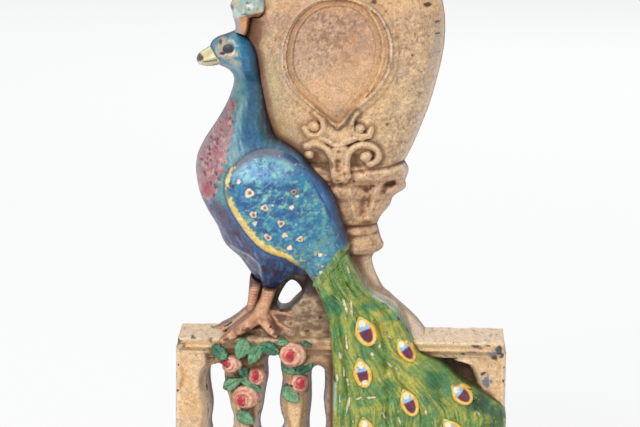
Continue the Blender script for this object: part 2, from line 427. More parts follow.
# flowing barbs: lines of constant share, warped; they turn outward on the right
warp = fbm(XX, ZZ, 9.0, 77, 2) - 0.5
strand = tv * 46 + 2.5 * warp
fine = smooth((txr - txl) / 46, 0.62, 1.05)
strand_b = tv * 17 + 1.0 * warp
amp = 0.17 * smooth(-s_train, 0.1, 0.8)
barbs = fine * (np.sin(strand * 2 * np.pi) + 1.6 * (noise(strand * 3.2, ZZ, 1.0, 61, 4.5) - 0.5))
barbs = barbs + 1.5 * (1 - fine) * (0.8 * np.sin(strand_b * 2 * np.pi) + 1.8 * (noise(strand_b * 2.6, ZZ, 1.0, 62, 5.5) - 0.5))
H_train = H_train + amp * barbs
# broad overlapping feathers: long shallow troughs between them
for k, pts in enumerate(([(2.0, 80), (12.5, 66), (15.5, 48), (16.0, 28), (15.0, 10)], [(6.0, 78), (19.0, 66), (30.5, 50), (35.0, 30), (33.0, 10)],
                         [(8.0, 76), (25.5, 60.5), (42.0, 45.5), (50.0, 30.0)], [(-2.0, 76), (0.6, 62), (2.4, 40), (2.8, 14)],
                         [(4.0, 72), (13.0, 56), (27.0, 36), (28.0, 12)])):
    d, _ = tube(pts, 5)
    H_train = H_train - 0.75 * np.exp(-(d / 0.9) ** 2) + 0.35 * np.exp(-((d - 2.2) / 1.2) ** 2)
f_train = np.maximum(s_train, -s_bird * 1.0)
f_train = np.maximum(f_train, -s_hole)

# ------------------------------------------------------------------ wing, over bird and train
s_wing = sdf(curve(WING))
s_un = np.minimum(s_bird, s_train)
H_join = 14.0 + (np.interp(ZZ, [72, 82, 88, 95], [23.6, 23.3, 22.6, 20.6]) - 14.0) * dome(-s_un / 3.0)
root_b = smooth(-s_train, -3.8, -0.2) * (1 - smooth(ZZ, 93, 98))
H_bird = H_bird * (1 - root_b) + root_b * np.maximum(H_bird, H_join)
under = np.where(f_bird < 0, H_bird, np.where(f_train < 0, H_train, H_urn))
under_s = blur(under, 1.0)
wt = clamp(-s_wing / 1.7)
flank = smooth(XX + 0.62 * (ZZ - 100) , -14.0, -5.0) * smooth(ZZ, 86, 92)
H_wing = np.maximum(under_s + 0.25 + (1.35 * dome(wt)) * (1 - 0.9 * flank) + 2.2 * dome(-s_wing / 9.0) * (1 - 0.75 * flank),
                    (15.0 + 1.6 * dome(wt) + 8.6 * dome(-s_wing / 11.0)) * (1 - flank) + flank * 10.0)
root = smooth(XX, -11.0, -7.0) * (1 - smooth(ZZ, 90, 94)) * smooth(s_wing, -4.5, -0.4)
H_wing = H_wing * (1 - root) + root * np.minimum(H_wing, np.maximum(H_train, 15.0) + 0.5)
lay = (XX * 0.78 + ZZ * 0.62)
lump = fbm(XX, ZZ, 4.2, 88, 3) - 0.5
H_wing = H_wing + 0.55 * lump * smooth(-s_wing, 1.0, 3.5)
vent = (XX + 38) * 0.55 - (ZZ - 118) * 0.83
rowv = vent / 3.3 + 1.3 * (noise(XX, ZZ, 7.0, 12) - 0.5)
fr = rowv - np.floor(rowv)
H_wing = H_wing + 0.30 * (1 - fr) ** 2 * smooth(-s_wing, 2.0, 4.0)
H_wing = H_wing + (noise((XX * 0.83 + ZZ * 0.55), vent, 0.8, 19, 4.0) - 0.5) * 0.22
SPOTS = [(-34.0, 114.4, 0.9), (-30.3, 110.8, 1.5), (-25.4, 106.2, 1.3), (-29.0, 103.8, 1.25), (-28.6, 100.8, 0.9),
         (-20.0, 101.0, 1.35), (-24.3, 96.2, 1.35), (-18.7, 97.0, 1.0), (-13.7, 95.7, 1.25), (-17.0, 92.7, 1.0),
         (-16.5, 106.3, 0.75), (-15.9, 111.0, 0.9), (-7.1, 90.2, 0.7), (-6.4, 86.2, 0.6), (-6.7, 84.2, 0.7), (-9.0, 81.4, 0.9),
         (-22.6, 107.0, 0.5), (-14.9, 109.6, 0.6)]
spot = np.full(XX.shape, 9.0)
for i, (a, b, r) in enumerate(SPOTS):
    wob = 1 + 0.35 * (noise(XX, ZZ, 0.9, 200 + i) - 0.5)
    spot = np.minimum(spot, np.hypot(XX - a, ZZ - b) / (r * wob))
H_wing = H_wing - 0.16 * dome(1.15 - spot)
f_wing = s_wing

# ------------------------------------------------------------------ crest
s_crest = sdf(curve(CREST))
He_c = blur(np.maximum(np.where(f_urn < 0, H_urn, 0), 8.0), 1.2)
H_crest = He_c + 4.2 * dome(-s_crest / 3.4)
fan = np.arctan2(XX + 33.6, ZZ - 158.0)
H_crest = H_crest + (ZZ > 164) * 0.6 * np.cos(fan * 22) * smooth(ZZ, 165, 168) + (fbm(XX, ZZ, 2.0, 71, 2) - 0.5) * 1.1 * smooth(ZZ, 165, 168)
stem = smooth(-ZZ + 0.22 * (XX + 34), -167.4, -166.4)
H_crest = H_crest * (1 - stem) + stem * (12.2 + 0.5 * (XX + 35)) * dome((-s_crest + 0.25) / 1.3)
f_crest = np.maximum(s_crest, -s_bird)

# ------------------------------------------------------------------ legs and feet
near = [[(-23.9, 81.0, 13.5, 2.5), (-24.2, 76.0, 12.8, 2.2), (-25.2, 72.4, 12.6, 2.05), (-26.4, 69.6, 13.0, 2.4), (-27.2, 67.4, 13.6, 2.7)],
        [(-27.4, 67.2, 13.4, 2.5), (-31.4, 64.7, 17.0, 2.0), (-35.8, 62.2, 20.6, 1.6), (-39.2, 60.2, 22.0, 1.1)],
        [(-26.6, 67.0, 14.0, 2.1), (-25.2, 65.2, 16.8, 1.7), (-23.4, 63.4, 19.2, 1.35), (-21.8, 61.9, 20.6, 0.95)],
        [(-25.0, 67.8, 11.2, 1.4), (-23.2, 68.2, 11.0, 1.05), (-20.4, 68.0, 10.9, 0.95), (-18.0, 67.5, 11.1, 0.85), (-15.8, 66.9, 11.4, 0.65)],
        [(-23.8, 67.8, 11.2, 1.1), (-22.6, 66.4, 11.9, 0.95), (-21.1, 64.7, 13.2, 0.95), (-18.6, 63.3, 14.4, 0.9), (-15.8, 62.6, 15.3, 0.65)]]
far = [[(-28.4, 81.5, 8.4, 2.4), (-29.2, 76.0, 8.2, 2.0), (-29.8, 71.6, 8.4, 1.7), (-30.2, 68.6, 8.8, 1.9)],
       [(-30.6, 67.2, 7.6, 2.2), (-33.4, 64.6, 7.4, 2.3), (-36.4, 62.8, 7.2, 2.0), (-40.6, 61.4, 7.0, 1.3), (-45.0, 60.7, 7.0, 0.7)],
       [(-32.0, 66.0, 9.2, 1.3), (-34.8, 64.2, 11.0, 1.0), (-39.2, 62.2, 12.4, 0.7)]]


def limb(parts):
    f, hh = np.full(XX.shape, 50.0), np.full(XX.shape, -50.0)
    for q in parts:
        a, b = capsules(q)
        f, hh = np.minimum(f, a), np.maximum(hh, b)
    return f, hh


f_near, H_near = limb(near)
f_far, H_far = limb(far)
scales = 0.12 * np.cos(ZZ * 2 * np.pi / 0.95) * smooth(ZZ, 68, 70)
H_near, H_far = H_near + scales, H_far + scales
f_near = np.maximum(f_near, np.where(ZZ > 74.0, -s_bird, -50))
f_far = np.maximum(f_far, np.where(ZZ > 74.0, -s_bird, -50))
f_far = np.maximum(f_far, -f_near)

# ------------------------------------------------------------------ balustrade
def opening(lft, rgt, topx, topz):
    """Half opening traced above the waist (z 29) and mirrored, shorter, below it."""
    mid = 29.0
    up_l = [p for p in lft if p[1] > mid]
    up_r = [p for p in rgt if p[1] > mid]
    k = 0.74
    lo_l = [(x, mid - (z - mid) * k) for x, z in reversed(up_l)]
    lo_r = [(x, mid - (z - mid) * k) for x, z in reversed(up_r)]
    right_side = up_r + [(rgt[-1][0], mid)] + lo_r
    left_side = up_l + [(lft[-1][0], mid)] + lo_l
    return [(topx, topz)] + right_side + [(topx, mid - (topz - mid) * k)] + left_side[::-1]


OPS = [opening([(-43.3, 49.0), (-44.2, 47.4), (-44.3, 44.0), (-43.8, 40.0), (-43.2, 36.2), (-43.3, 32.7), (-43.7, 30.0)],
               [(-40.2, 49.1), (-39.5, 46.8), (-39.3, 43.6), (-38.9, 40.9), (-38.0, 38.2), (-37.2, 34.6), (-36.3, 31.6)], -41.8, 49.5),
       opening([(-24.5, 51.4), (-24.7, 48.6), (-24.5, 45.0), (-25.1, 41.7), (-25.6, 38.6), (-26.2, 34.2), (-27.1, 30.6)],
               [(-20.7, 51.6), (-20.4, 47.8), (-19.8, 44.4), (-20.1, 41.2), (-20.6, 37.6), (-20.3, 33.4), (-19.2, 30.0)], -22.6, 53.7),
       opening([(-9.5, 48.0), (-10.0, 45.4), (-9.9, 41.8), (-9.8, 37.9), (-10.1, 34.0), (-10.5, 30.4)],
               [(-5.9, 48.0), (-5.5, 45.2), (-5.5, 41.6), (-5.8, 37.9), (-5.4, 33.4), (-4.9, 30.2)], -7.7, 49.3)]
s_ops = np.minimum(np.minimum(sdf(curve(OPS[0])), sdf(curve(OPS[1]))), sdf(curve(OPS[2])))
band_z = np.maximum(ZZ - 56.8, 12.4 - ZZ)


def slab(x0, x1):
    return np.maximum(np.maximum(x0 - XX, XX - x1), band_z)


f_lpost = np.maximum(slab(-55.2, -41.8), -s_ops)
f_b1 = np.maximum(slab(-41.8, -22.6), -s_ops)
f_b2 = np.maximum(slab(-22.6, -7.7), -s_ops)
f_b3 = np.maximum(np.maximum(slab(-7.7, 2.5), -s_ops), -s_train)
f_rpost = np.maximum(slab(30.0, 55.2), -s_train)
edge_d = np.maximum(s_ops, 0)
rough = skin * 0.8
H_bal = 2.0 + 13.6 * dome(edge_d / 4.0) + 0.5 * dome(edge_d / 9.0) + rough
arch = smooth(ZZ, 48.0, 53.6)
H_bal = H_bal + arch * (0.4 + 2.2 * smooth(edge_d, 0.5, 4.5))
pd = np.minimum(edge_d, XX + 55.2)
H_post = 2.0 + 16.8 * dome(np.minimum(edge_d / 3.4, (XX + 55.2 + 0.3) / 1.3)) + rough
notch, _ = tube([(-44.0, 50.0), (-45.4, 48.0), (-46.2, 45.6), (-45.6, 42.6)], 5)
H_post = H_post - 1.6 * np.exp(-(notch / 1.0) ** 2)
H_post = np.minimum(H_post + 0.4 * smooth(ZZ, 52, 54), 19.0) - 2.6 * smooth(XX, -45.4, -43.8) * smooth(ZZ, 49.0, 52.4)
wedge, _ = tube([(-54.6, 51.0), (-53.0, 49.2), (-52.2, 46.8), (-53.2, 43.6)], 5)
H_post = H_post - 1.2 * np.exp(-(wedge / 0.8) ** 2)
# right post: face from x 43.4; the arched recess beside it
arc_edge = np.interp(ZZ, [44, 47, 50, 52.4, 53.2, 54], [46.4, 46.0, 44.7, 43.3, 41.2, 38.0])
arc_edge = arc_edge + 0.8 * (fbm(XX, ZZ, 2.2, 71, 3) - 0.5)
recess = 9.6 + 1.2 * (fbm(XX, ZZ, 3.0, 72, 3) - 0.5) + 0.5 * smooth(XX, 36, 44)
H_rp = np.minimum(recess + (18.6 - recess) * dome(clamp((XX - arc_edge + 0.9) / 2.8)), 4.0 + 14.6 * dome((55.2 - XX + 0.3) / 1.3)) + rough

# ------------------------------------------------------------------ roses and leaves
ROSES = [("rose_1", -36.2, 51.9, 3.5, 3.15, -38.2, 52.5, 1.1, 0.95), ("rose_2", -27.8, 47.5, 3.05, 3.3, -28.4, 47.9, 0.85, 1.65),
         ("rose_3", -31.5, 40.3, 4.65, 4.15, -33.3, 39.3, 1.15, 1.45), ("rose_4", -15.9, 55.7, 4.6, 4.4, -16.9, 55.8, 1.2, 1.4),
         ("rose_5", -14.0, 45.2, 3.4, 3.3, -13.0, 45.5, 1.15, 1.4)]
rose_f, rose_h, rose_uv = {}, {}, {}
for i, (n, x0, z0, ra, rb, hx, hz, ha, hb) in enumerate(ROSES):
    dx, dz = XX - x0, ZZ - z0
    th = np.arctan2(dz, dx)
    r = np.hypot(dx / ra, dz / rb)
    wob = 1 + 0.07 * np.cos(5 * th + i) + 0.05 * np.cos(3 * th + 2 * i)
    f = (r - wob) * min(ra, rb)
    rh = np.hypot((XX - hx) / (ha * 1.25), (ZZ - hz) / (hb * 1.25))
    # petals turn about the heart, so the whorl is off centre
    q = np.hypot((XX - (x0 * 0.45 + hx * 0.55)) / ra, (ZZ - (z0 * 0.45 + hz * 0.55)) / rb)
    tq = np.arctan2(ZZ - hz, XX - hx)
    whorl = np.cos(2 * np.pi * (q * 2.6) + tq * 1.0 + i)
    base = 20.4 if n == "rose_4" else (19.2 if n == "rose_1" else 16.6)
    H = base - 1.2 + 4.4 * dome((1.02 - r) * 1.5) + 0.22 * whorl * smooth(1.0 - r, 0.0, 0.15) * smooth(rh, 0.8, 1.2)
    H = H + 0.18 * np.cos(5 * th + 3 * q * 5) * smooth(1 - r, 0.0, 0.2)
    H = H - 0.9 * np.exp(-((rh - 1.05) / 0.22) ** 2) + 0.5 * dome(1 - rh)
    rose_f[n], rose_h[n], rose_uv[n] = f, H, (r, rh, whorl, th)
LEAVES = [(-42.2, 57.9, -37.9, 54.0, 2.0), (-31.6, 60.4, -33.9, 54.4, 2.4), (-27.0, 58.2, -30.2, 52.6, 2.0), (-25.8, 58.8, -20.4, 56.2, 2.0),
          (-20.8, 59.6, -17.4, 60.1, 1.1), (-18.8, 51.2, -15.4, 48.9, 1.5), (-10.0, 53.4, -14.2, 49.0, 2.1), (-38.5, 43.4, -33.6, 46.2, 1.7),
          (-27.2, 42.6, -33.2, 46.4, 1.4), (-33.4, 50.6, -31.0, 46.8, 1.5), (-18.4, 43.4, -14.2, 39.2, 2.2), (-33.8, 34.6, -29.2, 31.6, 1.9),
          (-12.8, 60.0, -9.8, 59.2, 0.9)]
f_leaf = np.full(XX.shape, 50.0)
H_leaf = np.full(XX.shape, -50.0)
leaf_tone = np.zeros(XX.shape)
for i, (xa, za, xb, zb, w) in enumerate(LEAVES):
    mx, mz = (xa + xb) / 2, (za + zb) / 2
    L = math.hypot(xb - xa, zb - za) / 2 * 1.1 + 0.5
    w = w * 1.16
    c, s = (xb - xa) / (2 * L), (zb - za) / (2 * L)
    nrm = math.hypot(c, s)
    c, s = c / nrm, s / nrm
    u = ((XX - mx) * c + (ZZ - mz) * s) / L
    v = (-(XX - mx) * s + (ZZ - mz) * c)
    prof = w * np.maximum(0, 1 - u * u) ** 0.78 * (1 - 0.28 * u) * (1 + 0.06 * np.cos(u * 13))
    f = np.maximum(np.abs(v) - prof, (np.abs(u) - 1) * L)
    top = 21.4 if mz > 53.0 else 17.2
    H = top + 0.9 * dome((prof - np.abs(v)) / 1.1) - 0.5 * np.exp(-(v / 0.26) ** 2) + 0.12 * np.cos((u * L - np.abs(v) * 0.9) * 2 * np.pi / 1.15)
    w_ = f < f_leaf
    H_leaf = np.where((f < 0) & (H > H_leaf), H, H_leaf)
    leaf_tone = np.where((f < 0.3) & (f < f_leaf), i + 1, leaf_tone)
    f_leaf = np.minimum(f_leaf, f)
H_leaf = np.where(H_leaf < 0, 17.5, H_leaf)

# ------------------------------------------------------------------ eye spots of the train
EYES = [(8.2, 64.9, 5.3, 3.6, 24), (21.6, 58.9, 4.7, 2.75, 36), (7.4, 50.9, 5.3, 3.05, 14), (23.0, 41.0, 5.0, 3.0, 24),
        (40.3, 44.2, 4.5, 3.1, 50), (9.0, 31.0, 5.0, 3.0, 14), (37.6, 31.6, 5.0, 3.1, 38), (22.6, 22.6, 4.8, 3.0, 20),
        (48.2, 20.6, 4.4, 2.7, 40), (8.6, 17.0, 4.6, 2.8, 8), (35.2, 15.6, 4.4, 2.8, 26)]
f_eye = np.full(XX.shape, 50.0)
eye_u, eye_v = np.zeros(XX.shape), np.zeros(XX.shape)
for (x0, z0, a, b, tilt) in EYES:
    t = math.radians(tilt)
    # axis points up and to the left, towards the feather's root
    ax, az = -math.sin(t), math.cos(t)
    u = ((XX - x0) * ax + (ZZ - z0) * az) / a
    v = ((XX - x0) * az - (ZZ - z0) * ax) / b
    prof = np.sqrt(np.maximum(0, 1 - np.abs(u) ** 2.0)) * np.where(u > 0, 1 - 0.62 * clamp(u) ** 1.3, 1.0)
    f = np.maximum((np.abs(v) - prof) * b, (np.abs(u) - 1) * a)
    w_ = f < f_eye
    eye_u, eye_v = np.where(w_, u, eye_u), np.where(w_, v, eye_v)
    f_eye = np.minimum(f_eye, f)
H_eye = blur(H_train, 0.8) + 0.25 + 0.5 * dome(-f_eye / 0.9) - 0.12 * np.exp(-((eye_v ** 2 + ((eye_u + 0.05) / 0.9) ** 2 - 0.42) / 0.12) ** 2)

# ------------------------------------------------------------------ the whole surface, for dirt, wear and the hollow
stack = [("urn", np.maximum(f_urn, -s_hole), H_urn), ("band", f_band, H_band), ("scr", f_scr, H_scr), ("b1", f_b1, H_bal),
         ("b2", f_b2, H_bal), ("b3", f_b3, H_bal), ("lp", f_lpost, H_post), ("rp", f_rpost, H_rp), ("crest", f_crest, H_crest),
         ("train", f_train, H_train), ("bird", f_bird, H_bird), ("beak", f_beak, H_beak), ("far", f_far, H_far),
         ("near", f_near, H_near), ("wing", f_wing, H_wing), ("eye", f_eye, H_eye), ("leaf", f_leaf, H_leaf)]
stack += [(n, rose_f[n], rose_h[n]) for n in rose_f]
ALL = np.zeros(XX.shape)
for n, f, hh in stack:
    ALL = np.where((f < 0) & ((hh > ALL) | (n in ("wing", "bird", "train"))), hh, ALL)
cop = (np.abs(XX + 0.0) < 54.4) & (ZZ > 53.4) & (ZZ < 62.2)
cop_h = np.interp(ZZ, [53.0, 55.2, 55.8, 57.4, 58.0, 60.0, 60.6, 62.0], [17.6, 18.8, 20.0, 19.4, 21.0, 21.0, 20.2, 0.5])
ALL = np.where(cop, np.maximum(ALL, cop_h), ALL)
ALL = np.where((ZZ < 13.2) & (np.abs(XX) < 55.5), np.maximum(ALL, 19.0), ALL)
solid = ALL > 0.01
B1, B3 = blur(ALL, 0.7), blur(ALL, 2.2)
CAV = clamp((B1 - ALL) * 0.55) * 0.6 + clamp((B3 - ALL) * 0.22) * 0.8
EDGE = clamp((ALL - B1) * 0.9)
# distance to the outer silhouette by jump flooding on the grid
seed = np.where(solid[..., None], 1e6, np.stack([XX, ZZ], -1))
step = 128
best = np.where(solid, 1e12, 0.0)
while step >= 1:
    for dz in (-step, 0, step):
        for dx in (-step, 0, step):
            if dx == 0 and dz == 0:
                continue
            r0, r1 = max(0, dz), min(XX.shape[0], XX.shape[0] + dz)
            c0, c1 = max(0, dx), min(XX.shape[1], XX.shape[1] + dx)
            src = seed[r0 - dz:r1 - dz, c0 - dx:c1 - dx]
            d = (src[..., 0] - XX[r0:r1, c0:c1]) ** 2 + (src[..., 1] - ZZ[r0:r1, c0:c1]) ** 2
            w_ = d < best[r0:r1, c0:c1]
            best[r0:r1, c0:c1] = np.where(w_, d, best[r0:r1, c0:c1])
            seed[r0:r1, c0:c1] = np.where(w_[..., None], src, seed[r0:r1, c0:c1])
    step //= 2
RIM = np.sqrt(np.maximum(best, 0))
low = ALL.copy()
for k in range(1, 9):
    for dz, dx in ((k, 0), (-k, 0), (0, k), (0, -k)):
        low = np.minimum(low, np.roll(ALL, (dz, dx), (0, 1)))
m_ = low.copy()
for dz, dx in ((5, 5), (5, -5), (-5, 5), (-5, -5), (3, 0), (-3, 0), (0, 3), (0, -3)):
    m_ = np.minimum(m_, np.roll(low, (dz, dx), (0, 1)))
low = blur(m_, 1.6)
HOLLOW = clamp(np.minimum(low - 3.4, 1.5 * (RIM - 2.8)), 0, 60)
HOLLOW = blur(HOLLOW, 0.9) * (RIM > 2.2)
HOLLOW = np.where(ZZ < 13.4, 0, HOLLOW)

# ------------------------------------------------------------------ paint
def rgb(r, g, b):
    return np.array([r, g, b], float)


def mix(a, b, t):
    t = clamp(np.asarray(t, float))[..., None]
    return a * (1 - t) + b * t


def flat(c):
    return np.broadcast_to(np.asarray(c, float), XX.shape + (3,)).copy()


def tone(img, amount, s, seed, octaves=3, sz=None):
    """Multiplies by soft noise about 1."""
    return img * (1 + amount * 2 * (fbm(XX, ZZ, s, seed, octaves, sz) - 0.5))[..., None]


def stone_paint():
    c = flat((226, 189, 143))
    c = mix(c, rgb(234, 202, 160), smooth(fbm(XX, ZZ, 6.0, 301), 0.48, 0.70) * 0.5)
    c = mix(c, rgb(212, 168, 120), smooth(fbm(XX, ZZ, 9.0, 302), 0.50, 0.72) * 0.55)
    c = mix(c, rgb(214, 184, 152), smooth(fbm(XX, ZZ, 14.0, 303), 0.5, 0.7) * 0.6)
    tall = smooth(ZZ, 60, 66) * (1 - smooth(ZZ, 168, 171))
    c = mix(c, rgb(204, 176, 146), tall * 0.42)
    c = mix(c, rgb(184, 152, 124), tall * smooth(fbm(XX, ZZ, 3.4, 314, 4), 0.46, 0.64) * 0.42)
    g = noise(XX, ZZ, 0.62, 304) * 0.6 + noise(XX, ZZ, 1.1, 305) * 0.4
    c = c * (1 + (g - 0.5) * (0.16 + 0.12 * tall))[..., None]
    c = mix(c, rgb(146, 108, 80), smooth(noise(XX, ZZ, 0.62, 306), 0.70, 0.95) * (0.35 + 0.25 * tall))
    c = mix(c, rgb(120, 88, 70), smooth(noise(XX, ZZ, 0.85, 315) * 0.7 + fbm(XX, ZZ, 5.0, 316) * 0.3, 0.66, 0.80) * tall * 0.4)
    c = mix(c, rgb(240, 216, 182), smooth(noise(XX, ZZ, 0.8, 307), 0.84, 0.98) * 0.22)
    side = smooth(uu, 0.80, 0.99) * smooth(ZZ, 96, 100) * (1 - smooth(ZZ, 166, 169))
    c = mix(c, rgb(188, 176, 172), side * 0.72 * smooth(fbm(XX, ZZ, 1.5, 382, 3), 0.32, 0.55))
    # by the neck the tan turns greener, with a brown smear in the crook
    dn = np.maximum(s_bird, 0)
    c = mix(c, rgb(203, 187, 140), (1 - smooth(dn, 3.0, 10.0)) * smooth(ZZ, 124, 132) * (1 - smooth(ZZ, 150, 160)) * 0.75)
    c = mix(c, rgb(128, 90, 76), (1 - smooth(dn, 0.9, 2.5 + 1.0 * noise(XX, ZZ, 4, 308))) * smooth(ZZ, 118, 128) * 0.85)
    c = mix(c, rgb(116, 76, 58), (1 - smooth(np.maximum(f_crest, 0) + 0.25 * np.abs(XX + 29.5), 1.2, 4.6)) * smooth(ZZ, 157, 160)
            * (1 - smooth(ZZ, 165.5, 167.0)) * 0.9)
    c = mix(c, rgb(112, 74, 52), (1 - smooth(np.hypot((XX + 30.0) / 2.6, (ZZ - 162) / 4.6), 0.7, 1.3)) * 0.85)
    # dark crooks by the shoulder
    for x0, z0, a, b, k in ((-9.6, 120.5, 2.6, 2.4, 0.75), (-6.6, 116.6, 2.2, 1.4, 0.6), (15.0, 111.2, 2.2, 1.0, 0.7), (14.2, 109.2, 1.0, 1.6, 0.6),
                            (-12.6, 66.5, 6.5, 4.5, 0.35), (-14.0, 77.6, 4.0, 2.0, 0.6), (-10.8, 75.0, 3.6, 3.2, 0.5), (2.4, 93.6, 3.4, 1.6, 0.35), (-21.0, 77.4, 2.6, 1.6, 0.55), (-46.0, 60.6, 4.0, 1.2, 0.3),
                            (5.0, 84.5, 2.2, 5.0, 0.35), (-9.9, 128.4, 1.6, 0.8, 0.4), (24, 64, 3, 3, 0.15)):
        c = mix(c, rgb(92, 62, 44), (1 - smooth(np.hypot((XX - x0) / a, (ZZ - z0) / b) + 0.35 * (fbm(XX, ZZ, 1.8, 309) - 0.5), 0.35, 1.15)) * k)
    ring = (1 - smooth(edge_d, 0.7, 2.1 + 0.9 * noise(XX, ZZ, 2.0, 325))) * (1 - smooth(ZZ, 54.0, 55.0)) * smooth(ZZ, 13, 14)
    c = mix(c, rgb(192, 182, 184), ring * 0.85)
    c = mix(c, rgb(96, 74, 66), ring * smooth(noise(XX, ZZ, 1.3, 326), 0.74, 0.9) * 0.7)
    c = mix(c, rgb(104, 84, 78), (1 - smooth(edge_d, 0.15, 0.5)) * (1 - smooth(ZZ, 54.0, 55.0)) * smooth(ZZ, 13, 14) * 0.6)
    c = mix(c, rgb(150, 116, 88), np.exp(-((edge_d - 2.6) / 0.5) ** 2) * (1 - smooth(ZZ, 54.0, 55.0)) * smooth(ZZ, 13, 14) * 0.5)
    arch_s = smooth(ZZ, 50.5, 53.5) * (1 - smooth(ZZ, 55.5, 57)) * smooth(XX, -47, -44) * (1 - smooth(XX, -4, -2))
    c = mix(c, rgb(146, 112, 86), arch_s * 0.4)
    rec = smooth(arc_edge + 1.2 - XX, 0.0, 2.4) * smooth(XX, 29, 31) * (1 - smooth(ZZ, 54.0, 55.0)) * smooth(ZZ, 30, 40)
    c = mix(c, rgb(158, 120, 92), rec * (0.45 + 0.4 * smooth(fbm(XX, ZZ, 2.0, 332, 3), 0.4, 0.6)))
    # dirt in hollows, wear on edges
    c = mix(c, rgb(124, 86, 60), smooth(CAV + 0.14 * (fbm(XX, ZZ, 1.6, 310) - 0.5), 0.05, 0.42) * 0.88)
    c = mix(c, rgb(242, 218, 186), smooth(EDGE, 0.10, 0.42) * 0.5)
    # brown drift along the urn's left flank
    lf = smooth(-uu, 0.55, 0.98) * smooth(ZZ, 118, 124)
    c = mix(c, rgb(176, 134, 100), lf * 0.35)
    gr = np.exp(-((ZZ - 98.6) / 0.9) ** 2) * smooth(XX, 4.5, 7.5) * (0.25 + 0.6 * smooth(fbm(XX, ZZ, 2.0, 317, 3), 0.42, 0.62))
    gr = gr + np.exp(-((ZZ - 89.5) / 1.3) ** 2) * 0.35 * smooth(fbm(XX, ZZ, 2.0, 318, 3), 0.4, 0.6)
    c = mix(c, rgb(134, 94, 62), np.clip(gr, 0, 0.85))
    c = mix(c, rgb(216, 190, 164), (1 - smooth(ZZ, 80, 86)) * smooth(ZZ, 61, 62) * 0.42)
    web = smooth(ZZ, 60.5, 62) * (1 - smooth(ZZ, 78, 82)) * (1 - smooth(s_web, -0.4, 0.6)) * smooth(XX, -30.5, -29.5)
    c = mix(c, rgb(112, 84, 62), web * 0.7 * smooth(fbm(XX * 0.6, ZZ, 1.1, 330, 4), 0.36, 0.68))
    c = mix(c, rgb(60, 52, 52), (1 - smooth(s_hole + 0.7 * (noise(XX, ZZ, 0.9, 319) - 0.5), 0.5, 1.7)) * 0.85)
    c = mix(c, rgb(60, 46, 44), web * (1 - smooth(XX, -22.5, -19.5)) * smooth(ZZ, 68, 71) * 0.8)
    c = mix(c, rgb(64, 56, 60), web * (1 - smooth(np.hypot((XX + 9.5) / 5.5, (ZZ - 78.5) / 5.5), 0.5, 1.2)) * 0.7)
    c = mix(c, rgb(96, 68, 52), web * (1 - smooth(np.hypot((XX + 20.6) / 3.0, (ZZ - 66.4) / 1.4), 0.5, 1.1)) * 0.75)
    # worn and chipped spots
    for x0, z0, a, b, col in ((21.2, 171.4, 0.5, 0.3, (240, 236, 226)), (27.1, 172.1, 1.3, 0.8, (96, 62, 44)), (9.4, 173.5, 1.2, 1.1, (84, 62, 50)),
                              (11.8, 175.0, 0.8, 0.5, (98, 72, 56)), (13.5, 165.7, 0.45, 1.1, (90, 60, 48)), (15.0, 153.2, 0.5, 1.5, (104, 74, 58)),
                              (10.9, 94.6, 0.85, 0.55, (84, 58, 44)), (25.2, 150.0, 0.5, 0.3, (120, 84, 60)), (3.6, 113.6, 0.5, 0.4, (110, 76, 54)),
                              (-7.0, 66.8, 0.6, 0.5, (90, 62, 46)), (43.5, 57.5, 1.5, 0.6, (92, 88, 96)), (50.4, 57.2, 1.7, 1.6, (138, 136, 146)), (51.2, 55.4, 1.1, 0.8, (74, 68, 72)),
                              (48.8, 47.4, 1.7, 2.3, (120, 120, 130)), (47.6, 50.0, 1.0, 0.8, (88, 78, 76)), (-11.4, 62.8, 0.8, 0.35, (96, 68, 50))):
        c = mix(c, rgb(*col), 1 - smooth(np.hypot((XX - x0) / a, (ZZ - z0) / b) + 0.8 * (noise(XX, ZZ, 0.7, 311) - 0.5), 0.6, 1.05))
    chips = smooth(noise(XX, ZZ, 1.3, 312) * 0.65 + noise(XX, ZZ, 3.7, 313) * 0.35 + 0.08 * EDGE, 0.875, 0.90)
    c = mix(c, rgb(74, 62, 58), chips * 0.8)
    return c


